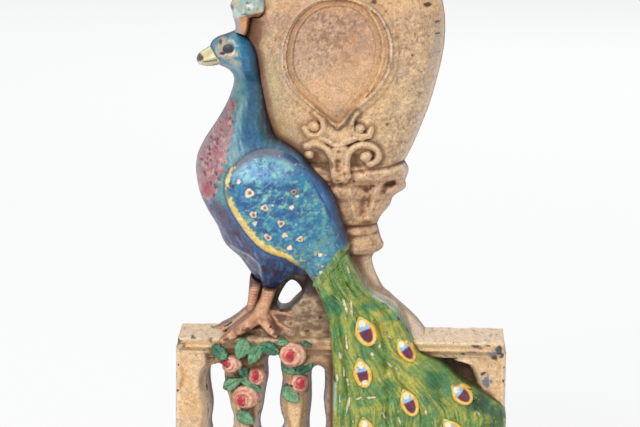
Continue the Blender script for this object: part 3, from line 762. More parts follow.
def urn_paint(c):
    c = c.copy()
    band = (1 - smooth(f_band, -0.3, 0.2)) * 1.0
    c = mix(c, rgb(216, 166, 116), smooth(-s_out, 1.8, 2.4) * smooth(s_in, 0.9, 1.3) * 0.45)
    c = mix(c, rgb(204, 184, 164), np.exp(-((s_out + 0.95) / 0.8) ** 2) * 0.7 * smooth(fbm(XX, ZZ, 1.5, 320, 3), 0.36, 0.56))
    c = mix(c, rgb(160, 116, 82), np.exp(-((s_out + 2.3) / 0.5) ** 2) * 0.75 * smooth(fbm(XX, ZZ, 2.5, 327), 0.3, 0.6))
    c = mix(c, rgb(186, 142, 98), np.exp(-((s_out - 0.5) / 0.5) ** 2) * 0.5)
    c = mix(c, rgb(228, 184, 130), np.exp(-((s_in - 1.0) / 0.7) ** 2) * 0.6 * smooth(fbm(XX, ZZ, 1.5, 324, 3), 0.36, 0.56))
    c = mix(c, rgb(170, 126, 88), np.exp(-((s_in + 0.3) / 0.6) ** 2) * 0.65)
    inner = smooth(-s_in, 0.6, 2.0)
    c = mix(c, rgb(190, 152, 128), inner * 0.55)
    c = mix(c, rgb(146, 112, 88), inner * smooth(fbm(XX, ZZ, 0.8, 321, 4), 0.36, 0.68) * (1 - smooth(np.hypot((XX + 4) / 13, (ZZ - 162) / 13) + 0.5 * (fbm(XX, ZZ, 4.0, 328, 3) - 0.5), 0.4, 1.1)) * 0.85)
    c = mix(c, rgb(204, 150, 108), inner * smooth(fbm(XX, ZZ, 1.6, 329, 3), 0.45, 0.62) * (1 - smooth(np.hypot((XX - 4) / 6, (ZZ - 158) / 9), 0.4, 1.1)) * 0.5)
    for px_, pz_, a_, b_ in ((-1.7, 120.1, 1.15, 0.95), (-1.4, 117.1, 0.9, 0.5), (-1.7, 113.9, 0.95, 0.5), (-1.5, 123.5, 0.75, 0.6)):
        c = mix(c, rgb(84, 64, 56), (1 - smooth(np.hypot((XX - px_) / a_, (ZZ - pz_) / b_) + 0.4 * (noise(XX, ZZ, 0.7, 381) - 0.5), 0.6, 1.1)) * 0.85)
    sc = (1 - smooth(near_s, 0.1, 1.5 + 0.8 * noise(XX, ZZ, 1.6, 378))) * smooth(near_s, -0.25, 0.05)
    c = mix(c, rgb(112, 78, 56), sc * 0.7)
    c = mix(c, rgb(226, 186, 142), smooth(-near_s, 0.2, 0.9) * 0.4)
    orange = smooth(noise(XX, ZZ, 11, 323), 0.52, 0.8) * smooth(ZZ, 120, 130) * (1 - smooth(ZZ, 150, 162))
    c = mix(c, rgb(224, 174, 118), orange * 0.35)
    low = (1 - smooth(ZZ, 112, 120)) * smooth(ZZ, 86, 89)
    c = c * (1 - low[..., None] * np.array([0.045, 0.085, 0.10]))
    c = c * (1 - smooth(ZZ, 146, 172)[..., None] * np.array([0.045, 0.075, 0.085]))
    c = c * (1 - (smooth(-XX, 11, 17) * smooth(ZZ, 118, 124))[..., None] * np.array([0.06, 0.06, 0.045]))
    for z0, wd, col, k in ((92.6, 0.8, (232, 194, 140), 0.55), (96.0, 0.5, (226, 186, 136), 0.45), (100.2, 0.6, (224, 184, 134), 0.4), (90.2, 0.5, (228, 192, 144), 0.45),
                           (94.6, 0.6, (150, 108, 76), 0.5), (98.2, 0.7, (138, 98, 68), 0.5)):
        c = mix(c, rgb(*col), np.exp(-((ZZ - z0) / wd) ** 2) * smooth(XX, -2, 2) * k * smooth(fbm(XX, ZZ, 1.8, 331, 3), 0.32, 0.6))
    c = mix(c, rgb(224, 192, 160), smooth(XX, 3, 8) * (1 - smooth(ZZ, 84, 88)) * 0.45)
    c = mix(c, rgb(228, 204, 178), smooth(XX, 13, 18) * (1 - smooth(ZZ, 62.5, 68)) * 0.85)
    return c


def bird_paint():
    u = ub
    w1 = 0.16 * (fbm(XX, ZZ, 3.0, 331, 3, 9.0) - 0.5) * 2
    v = u + w1
    # neck
    c = flat((54, 118, 142))
    c = mix(c, rgb(96, 158, 162), smooth(fbm(XX, ZZ, 1.0, 332, 3, 3.2), 0.50, 0.68) * 0.6)
    c = mix(c, rgb(34, 84, 126), smooth(v, -0.05, 0.2) * (1 - smooth(v, 0.42, 0.62)) * 0.75)
    c = mix(c, rgb(28, 74, 94), smooth(v, 0.45, 0.65) * 0.75)
    c = mix(c, rgb(44, 50, 66), smooth(v, 0.66, 0.84) * 0.92)
    c = mix(c, rgb(118, 156, 146), smooth(-v, 0.12, 0.34) * (1 - smooth(-v, 0.62, 0.78)) * (0.35 + 0.5 * smooth(fbm(XX, ZZ, 0.8, 333, 3, 2.4), 0.42, 0.62)))
    c = mix(c, rgb(150, 155, 172), smooth(-v, 0.66, 0.82) * 0.85)
    c = mix(c, rgb(104, 118, 138), smooth(-u, 0.93, 0.99) * 0.7)
    c = mix(c, rgb(70, 145, 145), smooth(noise(XX, ZZ, 0.55, 334, 1.6), 0.72, 0.95) * 0.45)
    # base of neck and back: deeper teal to grey-blue then blue
    lower = smooth(-ZZ, -129, -120)
    back = smooth(XX + 0.10 * (ZZ - 110), -36, -30) * lower
    b = mix(flat((98, 110, 128)), rgb(44, 92, 145), smooth(-ZZ, -122, -112))
    b = mix(b, rgb(60, 128, 168), smooth(fbm(XX, ZZ, 2.2, 335, 3, 6.0), 0.48, 0.68) * 0.45)
    b = mix(b, rgb(40, 52, 72), smooth(u, 0.86, 0.97) * 0.85)
    c = mix(c, b, back)
    # breast: rose and maroon flecks
    bx = np.interp(ZZ, [103, 108, 114, 120, 126, 132, 137, 141], [-45.6, -42.8, -40.6, -38.6, -36.6, -36.2, -35.6, -37.2])
    bx = bx + 4.6 * (fbm(XX, ZZ, 1.5, 336, 4) - 0.5)
    pink = smooth(bx - XX, -0.4, 0.5) * smooth(ZZ + 0.9 * (XX + 44) + 2.0 * noise(XX, ZZ, 1.7, 337), 103.5, 106.5) * (1 - smooth(ZZ, 137.5, 141.5))
    p = flat((166, 114, 118))
    p = mix(p, rgb(196, 150, 146), smooth(fbm(XX, ZZ, 1.3, 338, 3, 2.0), 0.5, 0.66) * 0.8)
    fleck = noise(XX + 0.5 * ZZ, ZZ - 0.5 * XX, 0.8, 339, 1.2) * 0.55 + noise(XX + 0.4 * ZZ, ZZ - 0.3 * XX, 0.45, 340, 0.7) * 0.45
    p = mix(p, rgb(92, 46, 62), smooth(fleck, 0.56, 0.72) * 0.85)
    p = mix(p, rgb(128, 142, 144), smooth(noise(XX, ZZ, 0.6, 341, 0.9), 0.62, 0.84) * 0.75)
    p = mix(p, rgb(168, 52, 62), (1 - smooth(np.hypot((XX + 45.2) / 2.6, (ZZ - 109.5) / 3.2), 0.4, 1.0)) * 0.6)
    p = mix(p, rgb(150, 140, 150), smooth(-u, 0.93, 0.985) * 0.6)
    c = mix(c, p, pink)
    # lower breast and belly: plum grey with blue strands
    belly = (1 - pink) * smooth(-ZZ - 0.35 * (XX + 45), -110, -105) * (1 - smooth(XX + 0.5 * (ZZ - 90), -20, -12))
    q = flat((82, 74, 98))
    ribbon = fbm(XX * 0.86 + ZZ * 0.42, ZZ * 0.86 - XX * 0.42, 1.0, 342, 3, 5.5)
    q = mix(q, rgb(44, 72, 120), smooth(ribbon, 0.45, 0.60) * 0.75)
    q = mix(q, rgb(112, 138, 186), smooth(ribbon, 0.62, 0.72) * 0.6)
    q = mix(q, rgb(78, 38, 58), smooth(noise(XX * 0.9 + ZZ * 0.4, ZZ, 0.8, 343, 2.0), 0.58, 0.78) * 0.8)
    wd = np.abs(s_wing)
    q = mix(q, rgb(62, 108, 168), (1 - smooth(np.maximum(s_wing, 0), 0.4, 3.0)) * 0.75)
    q = mix(q, rgb(140, 142, 160), smooth(-u, 0.92, 0.985) * 0.55)
    c = mix(c, q, belly)
    thg = (1 - smooth(np.hypot((XX + 22.5) / 9.0, (ZZ - 82.6) / 6.6), 0.75, 1.05)) * (1 - smooth(ZZ, 88, 93))
    t = mix(flat((30, 62, 108)), rgb(58, 110, 156), smooth(fbm(XX, ZZ, 0.9, 344, 3, 1.8), 0.5, 0.66) * 0.7)
    t = mix(t, rgb(66, 32, 52), smooth(fbm(XX, ZZ, 1.0, 345, 3, 1.6), 0.54, 0.66) * 0.85)
    t = mix(t, rgb(34, 30, 40), smooth(noise(XX, ZZ, 0.7, 353, 1.0), 0.74, 0.9) * 0.7)
    c = mix(c, t, thg)
    rim_l = tube([(-37.6, 91.0), (-34.4, 89.6), (-31.0, 88.4), (-28.4, 86.6), (-27.2, 84.0), (-26.9, 80.6), (-26.8, 78.8)])[0]
    rx = np.interp(ZZ, [79, 81, 84, 86.6, 88.4, 89.6, 91], [-26.8, -26.9, -27.2, -28.4, -31.0, -34.4, -37.6])
    ft = smooth(rx - XX, 0.0, 0.8) * (1 - smooth(ZZ, 90.5, 92))
    c = mix(c, mix(flat((96, 100, 124)), rgb(62, 64, 84), smooth(fbm(XX, ZZ, 1.2, 355, 3, 2.0), 0.46, 0.62)), ft * 0.85)
    c = mix(c, rgb(172, 180, 198), (1 - smooth(rim_l, 0.2, 0.75)) * smooth(fbm(XX, ZZ, 2.0, 356, 3), 0.3, 0.5) * 0.7)
    c = mix(c, rgb(166, 176, 192), smooth(f_bird, -1.0, -0.2) * smooth(XX, -16, -12) * smooth(-ZZ, -88, -84) * 0.6)
    # head
    hd = smooth(ZZ + 1.5 * (fbm(XX, ZZ, 2.0, 354, 3) - 0.5), 143.5, 151.0)
    h = flat((56, 126, 158))
    h = mix(h, rgb(100, 156, 176), smooth(fbm(XX, ZZ, 1.2, 346, 3), 0.46, 0.66) * 0.55)
    h = mix(h, rgb(34, 98, 136), smooth(XX, -35.2, -33.0) * 0.85)
    h = mix(h, rgb(34, 70, 92), smooth(u, 0.55, 0.9) * smooth(-ZZ, -157, -152) * 0.7)
    h = mix(h, rgb(46, 60, 78), smooth(f_bird, -1.0, -0.35) * smooth(XX, -32, -30) * 0.9)
    skin_m = (1 - smooth(np.hypot((XX + 39.2) / 4.3, (ZZ - 156.3) / 3.7) + 0.5 * (noise(XX, ZZ, 1.0, 347) - 0.5), 0.75, 1.05))
    sk = mix(flat((196, 166, 132)), rgb(220, 200, 170), smooth(noise(XX, ZZ, 0.7, 348), 0.5, 0.8))
    sk = mix(sk, rgb(120, 156, 166), smooth(noise(XX, ZZ, 0.9, 349), 0.62, 0.8) * 0.75)
    h = mix(h, sk, skin_m * smooth(-XX, 34.2, 35.6) * 0.92)
    low_s = (1 - smooth(np.hypot((XX + 35.9) / 2.4, (ZZ - 152.2) / 1.7) + 0.6 * (noise(XX, ZZ, 0.8, 350) - 0.5), 0.6, 1.05))
    h = mix(h, rgb(176, 168, 146), low_s * 0.8)
    h = mix(h, rgb(148, 152, 170), (1 - smooth(np.hypot((XX + 40.0) / 2.6, (ZZ - 149.6) / 1.6), 0.5, 1.1)) * 0.85)
    h = mix(h, rgb(30, 84, 110), (1 - smooth(tube([(-45.0, 156.9), (-43.1, 154.9), (-41.6, 152.4)])[0], 0.15, 0.55)) * 0.7)
    h = mix(h, rgb(64, 110, 140), (1 - smooth(np.hypot((XX + 39.6) / 1.7, (ZZ - 151.4) / 0.9), 0.5, 1.1)) * 0.7)
    h = mix(h, rgb(232, 214, 190), (1 - smooth(tube([(-40.4, 154.9), (-38.8, 154.6), (-37.2, 155.0), (-36.4, 155.9)])[0], 0.2, 0.5)) * 0.9)
    h = mix(h, rgb(222, 206, 180), (1 - smooth(tube([(-38.6, 158.9), (-37.0, 159.0), (-36.1, 158.0)])[0], 0.15, 0.45)) * 0.8)
    eye = ((XX - ex) * ca + (ZZ - ez) * sa)
    eyz = (-(XX - ex) * sa + (ZZ - ez) * ca)
    em = np.hypot(eye / 2.45, eyz / 1.36) + 0.25 * np.abs(eye / 2.45) ** 3
    em = np.minimum(em, np.hypot((XX + 40.5) / 1.0, (ZZ - 155.1) / 0.42))
    h = mix(h, rgb(42, 44, 58), 1 - smooth(em, 0.86, 1.05))
    h = mix(h, rgb(96, 104, 120), (1 - smooth(np.hypot((XX + 38.9) / 0.7, (ZZ - 157.3) / 0.35), 0.6, 1.1)) * 0.7)
    h = mix(h, rgb(74, 44, 36), 1 - smooth(np.hypot((XX + 41.5) / 0.75, (ZZ - 158.3) / 0.8), 0.6, 1.05))
    h = mix(h, rgb(92, 88, 96), (1 - smooth(np.hypot((XX + 41.0) / 1.9, (ZZ - 160.5) / 0.5), 0.5, 1.0)) * 0.8)
    c = mix(c, h, hd)
    c = tone(c, 0.10, 0.8, 351)
    c = c * (1 - (smooth(ZZ, 128, 136) * (1 - smooth(ZZ, 146, 150)))[..., None] * np.array([0.11, 0.12, 0.12]))
    wg = smooth(XX - np.interp(ZZ, [82, 86, 90, 93, 96], [-9.5, -4.8, -1.2, 0.6, 2.4]) + 2.6 * (fbm(XX, ZZ, 1.1, 357, 3) - 0.5), -0.6, 1.2) * (1 - smooth(ZZ, 91.0, 94.0))
    c = mix(c, mix(flat((110, 140, 72)), rgb(146, 164, 96), smooth(noise(XX + 0.5 * ZZ, ZZ, 0.7, 358, 3.0), 0.42, 0.7)), wg)
    c = mix(c, rgb(34, 40, 54), smooth(CAV, 0.10, 0.6) * 0.6)
    c = mix(c, rgb(168, 176, 184), smooth(noise(XX, ZZ, 0.7, 352), 0.90, 0.98) * 0.35)
    return c


def wing_paint():
    c = flat((46, 122, 162))
    n1 = fbm(XX, ZZ, 2.6, 361, 4)
    n2 = fbm(XX * 1.0, ZZ, 3.4, 362, 4, 1.5)
    c = mix(c, rgb(104, 168, 160), smooth(fbm(XX, ZZ, 1.5, 363, 4), 0.47, 0.60) * 0.85)
    c = mix(c, rgb(38, 82, 136), smooth(n2, 0.52, 0.66) * (1 - smooth(XX, -12, -7)) * smooth(ZZ, 92, 98) * (1 - smooth(ZZ, 118, 120)) * 0.8)
    c = mix(c, rgb(146, 190, 160), smooth(n1, 0.60, 0.70) * smooth(XX, -30, -24) * 0.75)
    # the bright crown of the shoulder
    up = mix(flat((128, 170, 208)), rgb(146, 208, 212), smooth(n1, 0.44, 0.60))
    up = mix(up, rgb(86, 120, 176), smooth(fbm(XX, ZZ, 1.6, 364, 3), 0.56, 0.70) * 0.8)
    crown = smooth(ZZ + 1.6 * (n1 - 0.5), 113.2, 116.0) * (1 - smooth(XX, -19, -14))
    c = mix(c, up, crown * 0.85 )
    ridge = np.maximum(s_wing, -30)
    halo = 1 - smooth(-ridge, 1.3, 3.4)
    sh = mix(flat((112, 120, 138)), rgb(84, 120, 172), smooth(-ZZ + 0.2 * XX, -124, -119))
    c = mix(c, sh, halo * smooth(ZZ, 114, 119) * 0.95)
    for a, b, r1, r2 in ((-23.6, 113.2, 3.0, 1.2), (-20.4, 108.4, 4.2, 1.7), (-28.0, 107.6, 2.2, 1.0), (-21.6, 104.0, 3.0, 1.0), (-17.6, 112.0, 2.0, 1.0),
                         (-26.2, 98.4, 2.6, 0.9), (-22.0, 98.6, 1.5, 0.8), (-18.0, 100.0, 1.8, 0.8), (-31.6, 107.0, 1.3, 1.3), (-14.6, 103.4, 2.4, 1.0)):
        c = mix(c, rgb(34, 78, 134), (1 - smooth(np.hypot((XX - a) / r1, (ZZ - b) / r2) + 1.3 * (fbm(XX, ZZ, 1.1, 365, 3) - 0.5), 0.55, 1.1)) * 0.75)
    # smooth blue right flank, running down to the tail
    fx = np.interp(ZZ, [84, 90, 98, 106, 112, 118, 122], [-2.4, -2.2, -3.6, -6.8, -10.2, -14.0, -20.0])
    fl = smooth(XX - fx + 1.2 * (fbm(XX, ZZ, 2.4, 366) - 0.5), -0.8, 1.6)
    f = mix(flat((58, 110, 152)), rgb(40, 74, 120), smooth(fbm(XX + 0.5 * ZZ, ZZ, 1.4, 367, 3, 6.0), 0.42, 0.62))
    f = mix(f, rgb(86, 150, 190), smooth(fbm(XX + 0.4 * ZZ, ZZ, 1.0, 368, 3, 4.0), 0.60, 0.74) * 0.5)
    c = mix(c, f, fl)
    # lower tip: teal with fine cream flecks
    tip = smooth(-ZZ + 0.25 * (XX + 20), -95, -90)
    c = mix(c, rgb(58, 128, 168), tip * (1 - fl) * 0.55)
    c = mix(c, rgb(122, 158, 138), smooth(fbm(XX, ZZ, 1.2, 377, 3), 0.5, 0.62) * tip * 0.5)
    c = mix(c, rgb(196, 184, 128), smooth(noise(XX, ZZ, 1.1, 369), 0.80, 0.92) * tip * 0.75)
    c = mix(c, rgb(30, 66, 120), (1 - smooth(-s_wing, 0.3, 1.3)) * smooth(-ZZ, -92, -88) * 0.8)
    # speckles of cream and of dark primer
    c = mix(c, rgb(206, 214, 196), smooth(noise(XX, ZZ, 0.75, 370), 0.86, 0.95) * 0.6)
    c = mix(c, rgb(28, 50, 84), smooth(noise(XX, ZZ, 0.8, 371), 0.86, 0.95) * 0.55)
    # yellow leading edge
    d, a = tube([(-35.6, 119.2), (-36.9, 117.2), (-37.9, 114.2), (-38.0, 111.2), (-37.0, 107.6), (-35.2, 104.0), (-32.9, 100.4),
                 (-30.6, 97.3), (-27.6, 94.4), (-24.2, 92.0), (-20.6, 90.4), (-17.2, 88.8), (-14.0, 86.2), (-10.6, 83.2)], 5)
    wy = np.interp(a, [0, 0.08, 0.3, 0.5, 0.75, 0.9, 1.0], [0.35, 0.6, 0.95, 1.35, 1.2, 0.75, 0.3]) + 0.9 * (fbm(XX, ZZ, 1.5, 372) - 0.5) + 0.8 * (noise(XX, ZZ, 0.7, 379) - 0.5)
    y = 1 - smooth(d - wy, -0.25, 0.25)
    inner_y = (1 - smooth(d - wy - 1.3 * smooth(a, 0.25, 0.5), -0.5, 0.5)) * smooth(noise(XX, ZZ, 1.3, 373, 0.8), 0.45, 0.62)
    ycol = mix(flat((238, 200, 106)), rgb(244, 216, 136), smooth(fbm(XX, ZZ, 1.6, 374), 0.46, 0.66))
    ycol = mix(ycol, rgb(206, 170, 84), smooth(noise(XX, ZZ, 0.9, 375), 0.68, 0.88) * 0.6)
    fade = 1 - smooth(a, 0.80, 0.97) * 0.85
    c = mix(c, mix(ycol, rgb(150, 165, 110), 0.35 * np.ones(XX.shape)), inner_y * fade * 0.8)
    c = mix(c, ycol, y * fade)
    yh = (1 - smooth(d - wy, 0.0, 0.6)) * smooth(ZZ, 106, 110) * smooth(noise(XX, ZZ, 0.9, 380, 1.3), 0.52, 0.68)
    c = mix(c, rgb(70, 96, 120), yh * 0.75)
    # painted eyes: cream flake with a brown heart
    big = np.full(XX.shape, 9.0)
    heart = np.full(XX.shape, 9.0)
    for i, (x0, z0, r) in enumerate(SPOTS):
        wob = 1 + 0.6 * (noise(XX, ZZ, 0.8, 400 + i) - 0.5) + 0.1 * np.cos(3 * np.arctan2(ZZ - z0, XX - x0) + i)
        big = np.minimum(big, np.hypot(XX - x0, (ZZ - z0) * 1.08) / (r * wob))
        if r > 1.15:
            heart = np.minimum(heart, np.hypot(XX - x0 - 0.1, ZZ - z0 + 0.1) / (r * 0.42 * wob))
        if i in (11, 15):
            heart = np.minimum(heart, np.hypot(XX - x0, ZZ - z0) / (r * 0.7 * wob))
    c = mix(c, rgb(24, 60, 120), (1 - smooth(big, 1.0, 1.5)) * 0.45)
    c = mix(c, rgb(238, 216, 184), 1 - smooth(big, 0.80, 1.02))
    c = mix(c, rgb(196, 140, 104), (1 - smooth(heart, 0.9, 1.6)) * 0.85)
    c = mix(c, rgb(112, 64, 44), (1 - smooth(heart, 0.45, 1.0)) * 0.9)
    c = mix(c, rgb(74, 52, 48), 1 - smooth(np.hypot((XX + 35.9) / 0.55, (ZZ - 112.6) / 1.1) + 0.5 * (noise(XX, ZZ, 0.6, 376) - 0.5), 0.6, 1.0))
    c = mix(c, rgb(246, 248, 252), 1 - smooth(tube([(-14.3, 121.4), (-13.4, 120.2), (-12.9, 118.6)])[0], 0.18, 0.42))
    wg = smooth(XX - np.interp(ZZ, [82, 86, 90, 93, 96], [-8.6, -4.9, -2.3, -0.5, 1.6]) + 1.4 * (fbm(XX, ZZ, 1.2, 357, 3) - 0.5), -0.2, 0.7) * (1 - smooth(ZZ, 92.5, 95.5))
    c = mix(c, mix(flat((110, 140, 72)), rgb(146, 164, 96), smooth(noise(XX + 0.5 * ZZ, ZZ, 0.7, 358, 3.0), 0.42, 0.7)), wg)
    c = mix(c, rgb(30, 46, 70), smooth(CAV, 0.12, 0.6) * 0.5)
    return c


def train_paint():
    def barb(k, dz, seed, lz):
        return noise(strand * k, ZZ + dz, 1.0, seed, lz) * fine + noise(strand_b * k, ZZ + dz, 1.0, seed, lz) * (1 - fine)

    a = barb(1.9, 0, 501, 6.5)
    b = barb(3.9, 5, 502, 4.0)
    c = flat((162, 166, 72))
    c = mix(c, rgb(186, 188, 98), smooth(a, 0.52, 0.85) * 0.85)
    c = mix(c, rgb(112, 134, 56), smooth(b, 0.50, 0.80) * 0.6)
    c = mix(c, rgb(128, 136, 56), smooth(barb(7.5, 3, 512, 5.0), 0.55, 0.8) * 0.5)
    big = fbm(XX, ZZ, 6.5, 503, 3)
    c = mix(c, rgb(66, 122, 74), smooth(big, 0.50, 0.62) * (0.25 + 0.75 * smooth(a, 0.3, 0.7)) * 0.72)
    c = mix(c, rgb(48, 100, 66), smooth((fbm(strand * 2.2, ZZ, 1.4, 504, 3, 6.0) * fine + fbm(strand_b * 2.2, ZZ, 1.4, 504, 3, 6.0) * (1 - fine)), 0.54, 0.68) * 0.55)
    c = mix(c, rgb(84, 150, 112), smooth(fbm(XX, ZZ, 4.5, 505, 3), 0.60, 0.72) * 0.6)
    # dark green patches low on the left under the wing, and at the right hand feather tips
    for x0, z0, r1, r2, col, k in ((-3.2, 73.0, 4.0, 5.2, (38, 104, 62), 0.75), (11.5, 72.5, 7.5, 1.7, (48, 118, 84), 0.55), (17.0, 69.5, 7.0, 1.6, (52, 124, 96), 0.5),
                                   (46.5, 41.0, 5.4, 5.0, (36, 68, 48), 0.8), (52.0, 35.0, 3.4, 7.0, (34, 72, 46), 0.75), (31.5, 49.0, 5.6, 4.2, (40, 104, 66), 0.65),
                                   (15.5, 44.0, 4.0, 5.0, (44, 108, 58), 0.6), (13.8, 55.5, 3.0, 6.2, (48, 112, 54), 0.5), (29.0, 35.0, 4.0, 4.0, (52, 118, 84), 0.55),
                                   (1.8, 47.0, 2.0, 7.0, (56, 110, 48), 0.4), (-1.4, 64.0, 1.6, 9.0, (52, 116, 56), 0.55), (16, 26, 4, 6, (46, 104, 54), 0.5),
                                   (42, 22, 5, 6, (40, 96, 58), 0.55), (28, 14, 6, 4, (44, 100, 56), 0.5)):
        c = mix(c, rgb(*col), (1 - smooth(np.hypot((XX - x0) / r1, (ZZ - z0) / r2) + 0.9 * (fbm(XX, ZZ, 2.0, 506) - 0.5), 0.45, 1.05)) * k)
    # bright barbs
    c = mix(c, rgb(176, 184, 82), smooth(barb(5.2, -3, 507, 3.6), 0.80, 0.93) * 0.75)
    c = mix(c, rgb(206, 206, 128), smooth(barb(6.1, 9, 508, 2.6), 0.90, 0.97) * 0.65)
    c = mix(c, rgb(42, 84, 40), smooth(barb(4.4, 2, 509, 3.2), 0.78, 0.95) * 0.55)
    # dry teal-grey along the outer edge at the top, teal strip on the left wall
    ed = smooth(s_train, -1.1, -0.1)
    c = mix(c, rgb(104, 146, 92), ed * smooth(XX, -1.0, 3.0) * smooth(ZZ, 60, 66) * 0.5)
    c = mix(c, rgb(88, 122, 62), smooth(s_train, -3.0, -1.2) * (1 - smooth(s_train, -1.0, -0.4)) * smooth(XX, -1.0, 3.0) * smooth(ZZ, 56, 62) * smooth(a, 0.3, 0.6) * 0.6)
    c = mix(c, rgb(96, 160, 92), ed * smooth(XX, 20, 30) * (1 - smooth(ZZ, 56, 62)) * 0.35)
    c = mix(c, rgb(170, 206, 196), (1 - smooth(tube([(-1.4, 47.0), (-1.9, 43.0), (-2.0, 38.0)])[0], 0.4, 0.9)) * 0.8)
    c = mix(c, rgb(146, 172, 130), smooth(s_train, -0.9, -0.1) * (1 - smooth(XX, 0.5, 2.0)) * (1 - smooth(ZZ, 60, 70)) * 0.4)
    # blue bleeding in from the wing
    c = mix(c, rgb(50, 104, 130), smooth(ZZ - 0.4 * XX, 86.5, 90) * (1 - smooth(XX, 0, 1.5)) * 0.6)
    c = c * (1 + (smooth(XX, 8, 14) * (1 - smooth(XX, 24, 30)) * smooth(ZZ, 34, 42))[..., None] * np.array([0.17, 0.07, 0.03]))
    # flaked paint: cream undercoat with a dark lip
    marks = [((0.7, 75.8), (2.4, 69.4)), ((3.3, 75.0), (3.8, 69.3)), ((1.8, 63.4), (2.3, 58.4)), ((-0.4, 57.8), (0.3, 55.0)), ((11.3, 68.0), (12.6, 66.9)),
             ((14.5, 64.4), (17.2, 62.5)), ((13.4, 60.9), (12.8, 59.4)), ((10.3, 57.5), (10.9, 56.6)), ((14.9, 54.9), (17.0, 53.2)), ((17.8, 53.2), (19.4, 51.7)),
             ((-0.2, 44.3), (0.1, 40.8)), ((3.4, 42.6), (2.1, 36.0)), ((4.5, 34.8), (4.7, 33.6)), ((14.0, 37.8), (15.6, 34.8)), ((1.2, 52.4), (1.4, 49.4)),
             ((2.4, 48.6), (2.9, 46.4)), ((5.4, 41.8), (7.6, 42.4)), ((8.2, 42.2), (11.8, 42.4)), ((-1.0, 50.0), (-0.8, 46.8)), ((19.4, 36.2), (20.4, 33.4)),
             ((28.4, 38.4), (29.0, 36.6)), ((45.4, 38.8), (46.6, 36.4)), ((30.0, 27.4), (31.0, 24.6)), ((3.2, 27.0), (3.6, 22.0)), ((15.6, 28.4), (16.6, 24.4)),
             ((28.6, 21.8), (29.4, 18.4)), ((42.6, 28.0), (44.2, 25.6)), ((1.0, 33.6), (1.3, 29.8)), ((2.6, 84.0), (1.6, 86.6)), ((12.0, 20.6), (12.8, 17.8))]
    for i, (p, q) in enumerate(marks):
        d, arc = tube([p, q], 3, smoothed=False)
        wdt = (0.14 + 0.34 * noise(XX, ZZ, 0.8, 520 + i)) * np.sqrt(clamp(1 - (2 * arc - 1) ** 2 * 0.9)) + 0.5 * (noise(XX, ZZ, 1.1, 560 + i) - 0.46)
        c = mix(c, rgb(58, 76, 36), (1 - smooth(d - wdt, 0.1, 0.5)) * 0.6)
        c = mix(c, rgb(232, 222, 180), 1 - smooth(d - wdt, -0.18, 0.15))
    c = mix(c, rgb(222, 214, 170), smooth(barb(3.4, 0, 510, 1.9), 0.955, 0.985) * 0.6)
    c = tone(c, 0.09, 0.7, 511)
    c = mix(c, rgb(40, 66, 30), smooth(CAV, 0.06, 0.5) * 0.55)
    return c


def eye_paint():
    u, v = eye_u, eye_v
    c = mix(flat((240, 188, 74)), rgb(248, 208, 110), smooth(noise(XX, ZZ, 1.2, 601), 0.4, 0.7))
    c = mix(c, rgb(226, 150, 52), smooth(np.abs(v) + 0.2 * np.abs(u), 0.78, 0.98) * 0.6)
    c = mix(c, rgb(184, 176, 84), smooth(u, 0.45, 0.85) * 0.8)
    core = np.hypot(v / 0.60, (u + 0.06) / 0.72)
    mar = (1 - smooth(core, 0.90, 1.04)) * (1 - smooth(u, 0.06, 0.16))
    c = mix(c, mix(flat((112, 36, 58)), rgb(84, 34, 70), smooth(noise(XX, ZZ, 1.0, 602), 0.4, 0.7)), mar)
    blu = (1 - smooth(core, 0.86, 1.0)) * smooth(u, 0.02, 0.10) * (1 - smooth(u, 0.34, 0.42))
    c = mix(c, rgb(146, 190, 228), blu)
    tipc = (1 - smooth(np.hypot(v / 0.36, (u - 0.50) / 0.26), 0.8, 1.05))
    c = mix(c, rgb(240, 232, 202), tipc)
    d1 = (1 - smooth(np.hypot((XX - 8.2) / 1.5, (ZZ - 47.4) / 1.2) + 0.5 * (noise(XX, ZZ, 0.7, 603) - 0.5), 0.6, 1.0))
    c = mix(c, rgb(238, 226, 184), d1)
    d2 = (1 - smooth(np.hypot((XX - 38.6) / 1.6, (ZZ - 47.6) / 1.2), 0.5, 1.1))
    c = mix(c, rgb(150, 140, 128), d2 * 0.9)
    c = mix(c, rgb(70, 42, 40), smooth(noise(XX, ZZ, 0.8, 604), 0.90, 0.96) * 0.6)
    return tone(c, 0.06, 0.7, 605)


